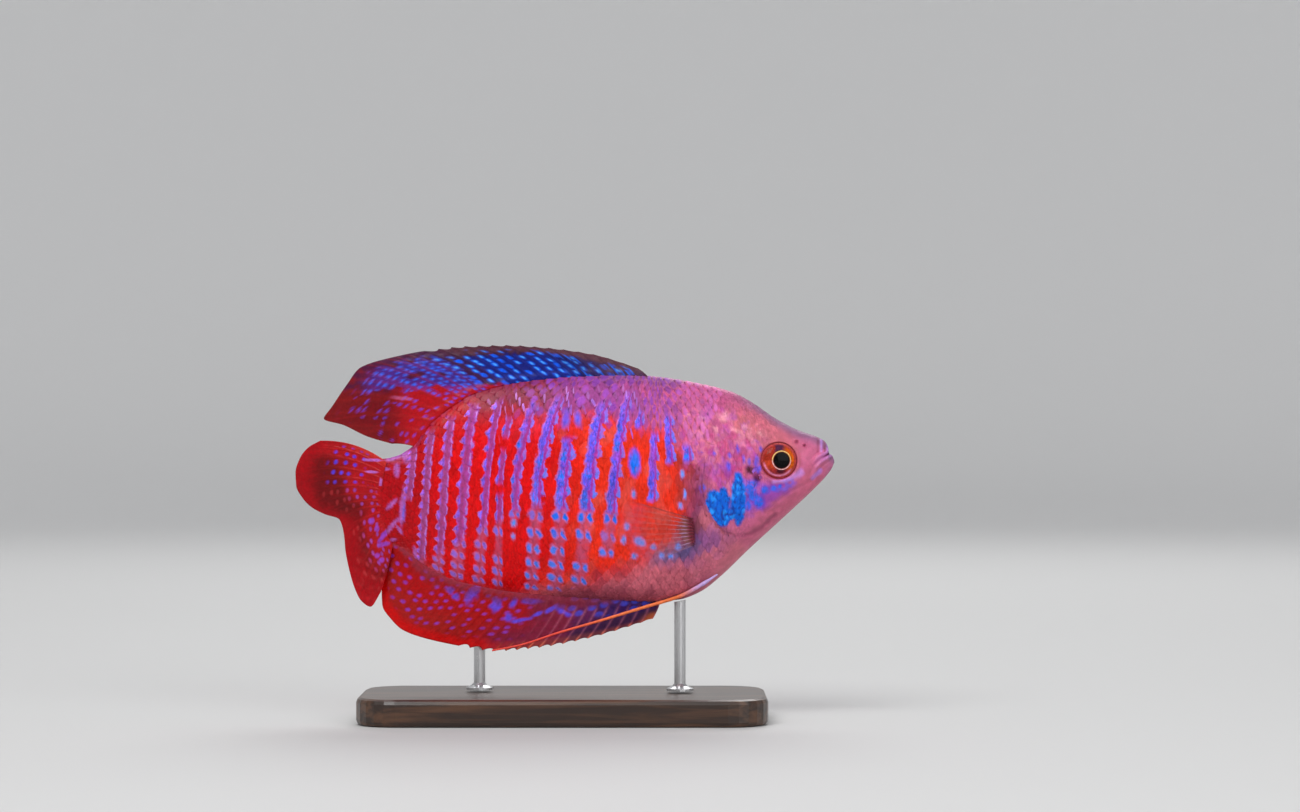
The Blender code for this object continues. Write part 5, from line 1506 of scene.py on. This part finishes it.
def make_anal(finish):
    """The anal fin: red with violet spots behind, dark violet with orange spine tips in front."""
    root, tip = rooted(belly_line, -1, ANAL_ROOTS), tips(ANAL_TIPS)
    grids = fin_places(ANAL_SPINES + ANAL_SOFT, 9, 46, root, tip, lambda u: ANAL_BOW, ANAL_SPINES)
    u, t, x, z, run, _, ridge, _ = grids
    fine, broad = waver(x, z, 0.6, 41), waver(x, z, 2.0, 42)
    streak, lucky = spots_between(u, run, 1.5, 0.55, 0.4, 0.5, 43)
    tint = covers(
        plain(ANAL_RED, u),
        (ANAL_BRICK, 0.6 * smooth(0.35, 0.7, t) * smooth(0.95, 0.8, t) * smooth(12, 20, u)),
        (ANAL_PLUM, 0.9 * smooth(15, 9, u + 1.5 * broad - 3 * t)),
        (ANAL_NIGHT, 0.9 * smooth(9.5, 5.0, u + broad)),
        (ANAL_STREAK, 0.75 * streak * smooth(11, 7, u) * smooth(0.55, 0.3, t) * (lucky < 0.7)),
        (ANAL_DUSK, 0.7 * smooth(9, 5, u + broad) * smooth(0.35, 0.6, t)))
    spot, lucky = spots_between(u, run, 1.45, 0.45, 0.26, 0.28, 44)
    speckled = smooth(11, 14, u) * smooth(0.86, 0.74, t) * (lucky < 0.85) * smooth(0.0, 0.1, t)
    tint = cover(tint, SPOT_MAUVE, (0.85 - 0.35 * lucky) * spot * speckled)
    tint = paint_blots(tint, ANAL_BLOTS, x, z, 0.45 * fine, (BLOB_BLUE, 0.85, 1.45, 0.5))
    tint = covers(
        tint,
        (ANAL_MARGIN, smooth(0.8, 0.93, t + 0.03 * fine) * smooth(11, 16, u)),
        (SPINE_ORANGE, smooth(0.78, 0.94, t) * smooth(15, 9, u) * (0.15 + 0.75 * ridge)),
        (ANAL_FOOT, 0.75 * smooth(0.26, 0.02, t + 0.1 * fine) * smooth(3, 6, u)),
        (ANAL_EDGE, 0.8 * smooth(1.8, 0.6, u)),
        (SPINE_ORANGE, 0.6 * smooth(1.6, 0.3, u) * smooth(0.5, 0.8, t)),
        (ANAL_RAY, 0.3 * ridge * smooth(12, 8, u) * smooth(0.1, 0.3, t)))
    median_fin("anal_fin", grids, tint, lambda u: 0.35 * np.sin(u * 0.45 + 1.0), finish)


# Violet strokes over the lower root of the tail fin
TAIL_BLOTS = [(-26.6, 27.2, 1.3, 0.36, 52), (-26.6, 25.9, 1.0, 0.34, 14), (-27.6, 24.2, 0.45, 0.4, 0),
              (-26.9, 23.6, 0.4, 0.4, 0), (-28.4, 29.3, 0.45, 0.5, 0), (-27.6, 28.3, 0.4, 0.5, 0)]


# Pale strokes along its uppermost rays
TAIL_STROKES = [(-28.2, 38.35, 1.45, 0.2, -2), (-28.4, 36.6, 1.2, 0.2, -3), (-27.0, 35.0, 0.2, 0.7, 0)]


def make_tail(finish):
    """The tail fin: dark red with crimson edges, and rows of blue-violet spots near its root."""
    level_of = curve(TAIL_ROOTS)

    def root(u):
        z = level_of(u)
        return tail_end(z) + FIN_SINK, z

    grids = fin_places(TAIL_RAYS, 14, 70, root, tips(TAIL_TIPS), curve(TAIL_BOW),
                       swell_at_root=0.72, taper=1.9)
    u, t, x, z, run, _, ridge, _ = grids
    fine, broad = waver(x, z, 0.5, 51), waver(x, z, 2.4, 52)
    spot, _ = spots_between(u, run, 1.42, 0.5, 0.22, 0.29, 53)
    upper = smooth(0.3, 0.8, u) * smooth(5.2, 4.2, u) * smooth(0.2, 0.26, t) * smooth(0.68, 0.6, t)
    fleck, lucky = spots_between(u, run, 1.18, 0.5, 0.26, 0.24, 55)
    lower = smooth(4.5, 5.5, u) * smooth(0.05, 0.1, t) * (lucky < 0.88)
    tint = covers(
        plain(TAIL_RED, u),
        (TAIL_DARK, 0.9 * smooth(0.3, 0.62, t + 0.1 * broad) * smooth(1.2, 2.6, u)),
        (TAIL_CRIMSON, 0.9 * smooth(0.72, 0.95, t + 0.06 * broad)),
        (TAIL_CRIMSON, 0.8 * smooth(7.5, 9.5, u) * smooth(0.45, 0.7, t)),
        (TAIL_EDGE, 0.6 * smooth(1.2, 0.1, u) * smooth(0.7, 0.3, t)),
        (TAIL_SPOT, 0.95 * spot * upper),
        (TAIL_FLECK, 0.8 * fleck * lower * smooth(0.58, 0.38, t)),
        (TAIL_FLECK_RED, 0.4 * fleck * lower * smooth(0.4, 0.5, t) * smooth(0.85, 0.7, t)))
    tint = paint_blots(tint, TAIL_BLOTS, x, z, 0.3 * fine, (TAIL_VIOLET, 0.8, 1.3, 0.7))
    tint = paint_blots(tint, TAIL_STROKES, x, z, 0.25 * fine, (TAIL_PALE, 0.85, 1.3, 0.7))
    tint = cover(tint, TAIL_RAY, 0.2 * ridge * smooth(0.8, 0.3, t))
    tint = tint * (1 + 0.1 * fine[..., None])
    median_fin("tail_fin", grids, tint, curve(TAIL_WAVE), finish)


def make_pectoral(side, name, finish):
    """A clear fan of fine rays that lifts off the flank behind the gill cover."""
    (x0, z0), (x1, z1) = PECTORAL_ROOT
    last = PECTORAL_RAYS - 1

    def root(u):
        return x0 + (x1 - x0) * u / last, z0 + (z1 - z0) * u / last

    grids = fin_places(PECTORAL_RAYS, 12, 50, root, tips(PECTORAL_TIPS), lambda u: 0.0, 0, 0.0)
    u, t, x, z, _, half, ridge, _ = grids
    half = 0.07 + (half - WEB) * 0.6 + 0.12 * smooth(0.16, 0.0, t)
    lift = GAP + curve(PECTORAL_LIFT)(t) + MM
    inner = solid_half(x, z) + lift - 0.35 * smooth(0.12, 0.0, t)
    sheets = [np.stack([x, sway(x) + side * y, z], axis=-1) for y in (inner + 2 * half, inner)]
    points, faces = closed_sheets(*sheets)
    if side > 0:
        faces = faces[:, ::-1]
    pale = 0.3 + 0.5 * hashed(np.round(u), 3)
    tint = covers(
        plain(PECTORAL_WEB, u),
        (PECTORAL_RAY, 0.5 * ridge),
        (PECTORAL_PALE, pale * ridge * smooth(0.4, 0.12, t) * smooth(0.03, 0.12, t)),
        (PECTORAL_TIP, 0.6 * smooth(0.55, 0.85, t)),
        # painted shade at the fin's root, where it meets the flank
        (PECTORAL_ROOT_SHADE, smooth(0.14, 0.05, t)),
        (PECTORAL_EDGE, 0.7 * smooth(0.4, 0.05, u))).reshape(-1, 3)
    inward = smooth(0.0, 1.6, u) * smooth(last, last - 1.6, u)
    body = 0.1 + 0.08 * ridge + 0.4 * ridge * smooth(0.4, 0.12, t)
    body = body + (0.1 + 0.6 * inward) * smooth(0.22, 0.05, t) * smooth(-0.05, 0.08, t)
    body = body + 0.22 * smooth(0.5, 0.0, u) * smooth(0.9, 0.5, t)
    body = body * (0.25 + 0.75 * smooth(1.0, 0.75, t))
    body = np.clip(body, 0, 1).ravel()
    fin = make_object(name, points, faces, finish, {"tint": np.concatenate([tint, tint])},
                      {"body": np.concatenate([body, body])})
    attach(fin, "root")
    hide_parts(name)


def make_feeler(side, name, rise, finish):
    """A pelvic fin: one long thread, whitish violet at its root and orange-red along its length."""
    rings, sides = 160, 14
    path = along(FEELER_POINTS, rings)
    reach = np.linspace(0, 1, rings)
    x, z = path[:, 0], path[:, 1] + rise * np.sin(math.pi * reach) ** 2
    radius = FEELER_ROOT_RADIUS + (FEELER_TIP_RADIUS - FEELER_ROOT_RADIUS) * reach
    off_body = solid_half(x, np.maximum(z, belly_line(x))) * (z > belly_line(x) - 1.0)
    off = np.maximum(off_body + 2 * GAP + radius, FEELER_OFF_FIN)
    kernel = np.hanning(25)
    padded = np.concatenate([np.full(12, off[0]), off, np.full(12, off[-1])])
    off = np.convolve(padded, kernel / kernel.sum(), mode="valid")
    centres = np.stack([x, sway(x) + side * off, z], axis=-1)
    ways = np.gradient(centres, axis=0)
    ways /= np.linalg.norm(ways, axis=1, keepdims=True)
    across = np.cross(ways, [0.0, 1.0, 0.0])
    across /= np.linalg.norm(across, axis=1, keepdims=True)
    up = np.cross(across, ways)
    turns = np.linspace(0, 2 * math.pi, sides, endpoint=False)
    radius = radius * (1 + 0.05 * np.sin(reach * 120)) * (0.35 + 0.65 * smooth(-0.01, 0.08, reach))
    strands = [centres + radius[:, None] * (math.cos(t) * across + math.sin(t) * up) for t in turns]
    points = np.stack(strands, axis=1).reshape(-1, 3)
    reach = np.repeat(reach, sides)
    tint = covers(
        plain(FEELER_ROOT, reach),
        (FEELER_ORANGE, smooth(0.06, 0.2, reach)),
        (FEELER_RED, smooth(0.35, 0.8, reach)))
    feeler = make_object(name, points, tube_faces(rings, sides), finish, {"tint": tint})
    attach(feeler, "root")
    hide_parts(name)


def dress_stand(nodes):
    """Dark stained wood for the base and brushed steel for the rods."""
    wood, shader = material("stained_wood", 0.34, coat=0.3, coat_roughness=0.25)
    grain = drawn_noise(wood, WOOD_SCALE, 6.0, ("Distortion", 0.6)).outputs["Fac"]
    tint = blend(wood, ramp(wood, grain, 0.35, 0.68), opaque(WOOD_DARK), opaque(WOOD_LIGHT))
    feed(wood, shader, "Base Color", tint)
    add_bump(wood, shader, grain, 0.05)
    steel, shader = material("brushed_steel", 0.32)
    shader.inputs["Metallic"].default_value = 1.0
    brushed = drawn_noise(steel, STEEL_SCALE, 3.0).outputs["Fac"]
    feed(steel, shader, "Base Color", blend(steel, brushed, STEEL_DARK, STEEL_LIGHT))
    feed(steel, shader, "Roughness", ramp(steel, brushed, 0.2, 0.8, 0.22, 0.42))
    for name, finish in (("stand_base", wood), ("stand_rod_front", steel), ("stand_rod_rear", steel)):
        nodes[name].data.materials.clear()
        nodes[name].data.materials.append(finish)


def make_stage():
    """A pale round floor that curves up far away on all sides."""
    made, shader = material("pale_floor", 0.7, specular=0.2)
    away = node(made, "VectorMath", [(0, place_of(made))], operation="LENGTH").outputs["Value"]
    # Darker near the middle and lighter far out: painted light that brightens the far wall
    feed(made, shader, "Base Color", blend(made, ramp(made, away, 0.25, 1.3), FLOOR_NEAR, FLOOR_FAR))
    flat, bend, wall = 900.0, 700.0, 1500.0
    steps, spokes = 12, 72
    profile = [(flat * 0.5, 0.0), (flat, 0.0)]
    for k in range(1, steps + 1):
        turn = math.pi / 2 * k / steps
        profile.append((flat + bend * math.sin(turn), bend * (1 - math.cos(turn))))
    profile.append((flat + bend, wall))
    turns = np.linspace(0, 2 * math.pi, spokes, endpoint=False)
    points = [(radius * math.cos(t), radius * math.sin(t), z) for radius, z in profile for t in turns]
    faces = np.roll(tube_faces(len(profile), spokes, True), 1, axis=1)
    floor = make_object("floor", points, [list(range(spokes)), *faces.tolist()], made)


def make_lights():
    """A soft key from above the camera's left, a fill from the right and a rim from behind."""
    for name, place, power, size in LIGHTS:
        light = bpy.data.lights.new(name, "AREA")
        light.energy = power
        light.size = size * MM
        made = bpy.data.objects.new(name, light)
        made.location = [v * MM for v in place]
        made.rotation_euler = direction(np.array(LIT_PLACE) - np.array(place))
        bpy.context.scene.collection.objects.link(made)
    world = bpy.data.worlds.new("studio")
    world.use_nodes = True
    world.node_tree.nodes["Background"].inputs["Color"].default_value = SKY_TONE
    world.node_tree.nodes["Background"].inputs["Strength"].default_value = SKY_STRENGTH
    bpy.context.scene.world = world
    bpy.context.scene.view_settings.view_transform = "Standard"


def direction(aim):
    """The rotation that turns a light's or camera's -Z towards aim."""
    flat = math.hypot(aim[0], aim[1])
    return (math.atan2(flat, -aim[2]), 0.0, math.atan2(-aim[0], aim[1]))


def make_camera():
    """The photo's view: level, along +Y, with the photo's middle in the middle."""
    data = bpy.data.cameras.new("camera")
    data.lens = LENS
    data.sensor_width = SENSOR
    away = PHOTO_WIDTH * MM_PER_PIXEL * LENS / SENSOR
    x = (PHOTO_WIDTH / 2 - ORIGIN_PIXEL[0]) * MM_PER_PIXEL
    z = (ORIGIN_PIXEL[1] - PHOTO_HEIGHT / 2) * MM_PER_PIXEL
    camera = bpy.data.objects.new("camera", data)
    camera.location = (x * MM, -away * MM, z * MM)
    camera.rotation_euler = (math.pi / 2, 0, 0)
    data.clip_start, data.clip_end = 0.01, 20.0
    bpy.context.scene.collection.objects.link(camera)
    bpy.context.scene.camera = camera


def main():
    for made in list(bpy.data.objects):
        bpy.data.objects.remove(made)
    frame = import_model()
    make_camera()
    make_lights()
    make_stage()
    height = section_table()
    make_skin(height)
    scales = scale_material()
    eyes = eye_material()
    clear = fin_material("clear_fin", 0.3, clear=True)
    thread = fin_material("thread", 0.4)
    for side, name in ((-1, "right"), (1, "left")):
        make_scales(side, "front_scales_" + name, True, height, scales)
        make_scales(side, "rear_scales_" + name, False, height, scales)
        make_eye(side, "eye_" + name, eyes)
        make_pectoral(side, "pectoral_fin_" + name, clear)
        make_feeler(side, "pelvic_feeler_" + name, LEFT_FEELER_RISE * (side > 0), thread)
    make_dorsal(fin_material("dorsal_web"))
    make_anal(fin_material("anal_web"))
    make_tail(fin_material("tail_web"))
    dress_stand(frame["nodes"])


main()
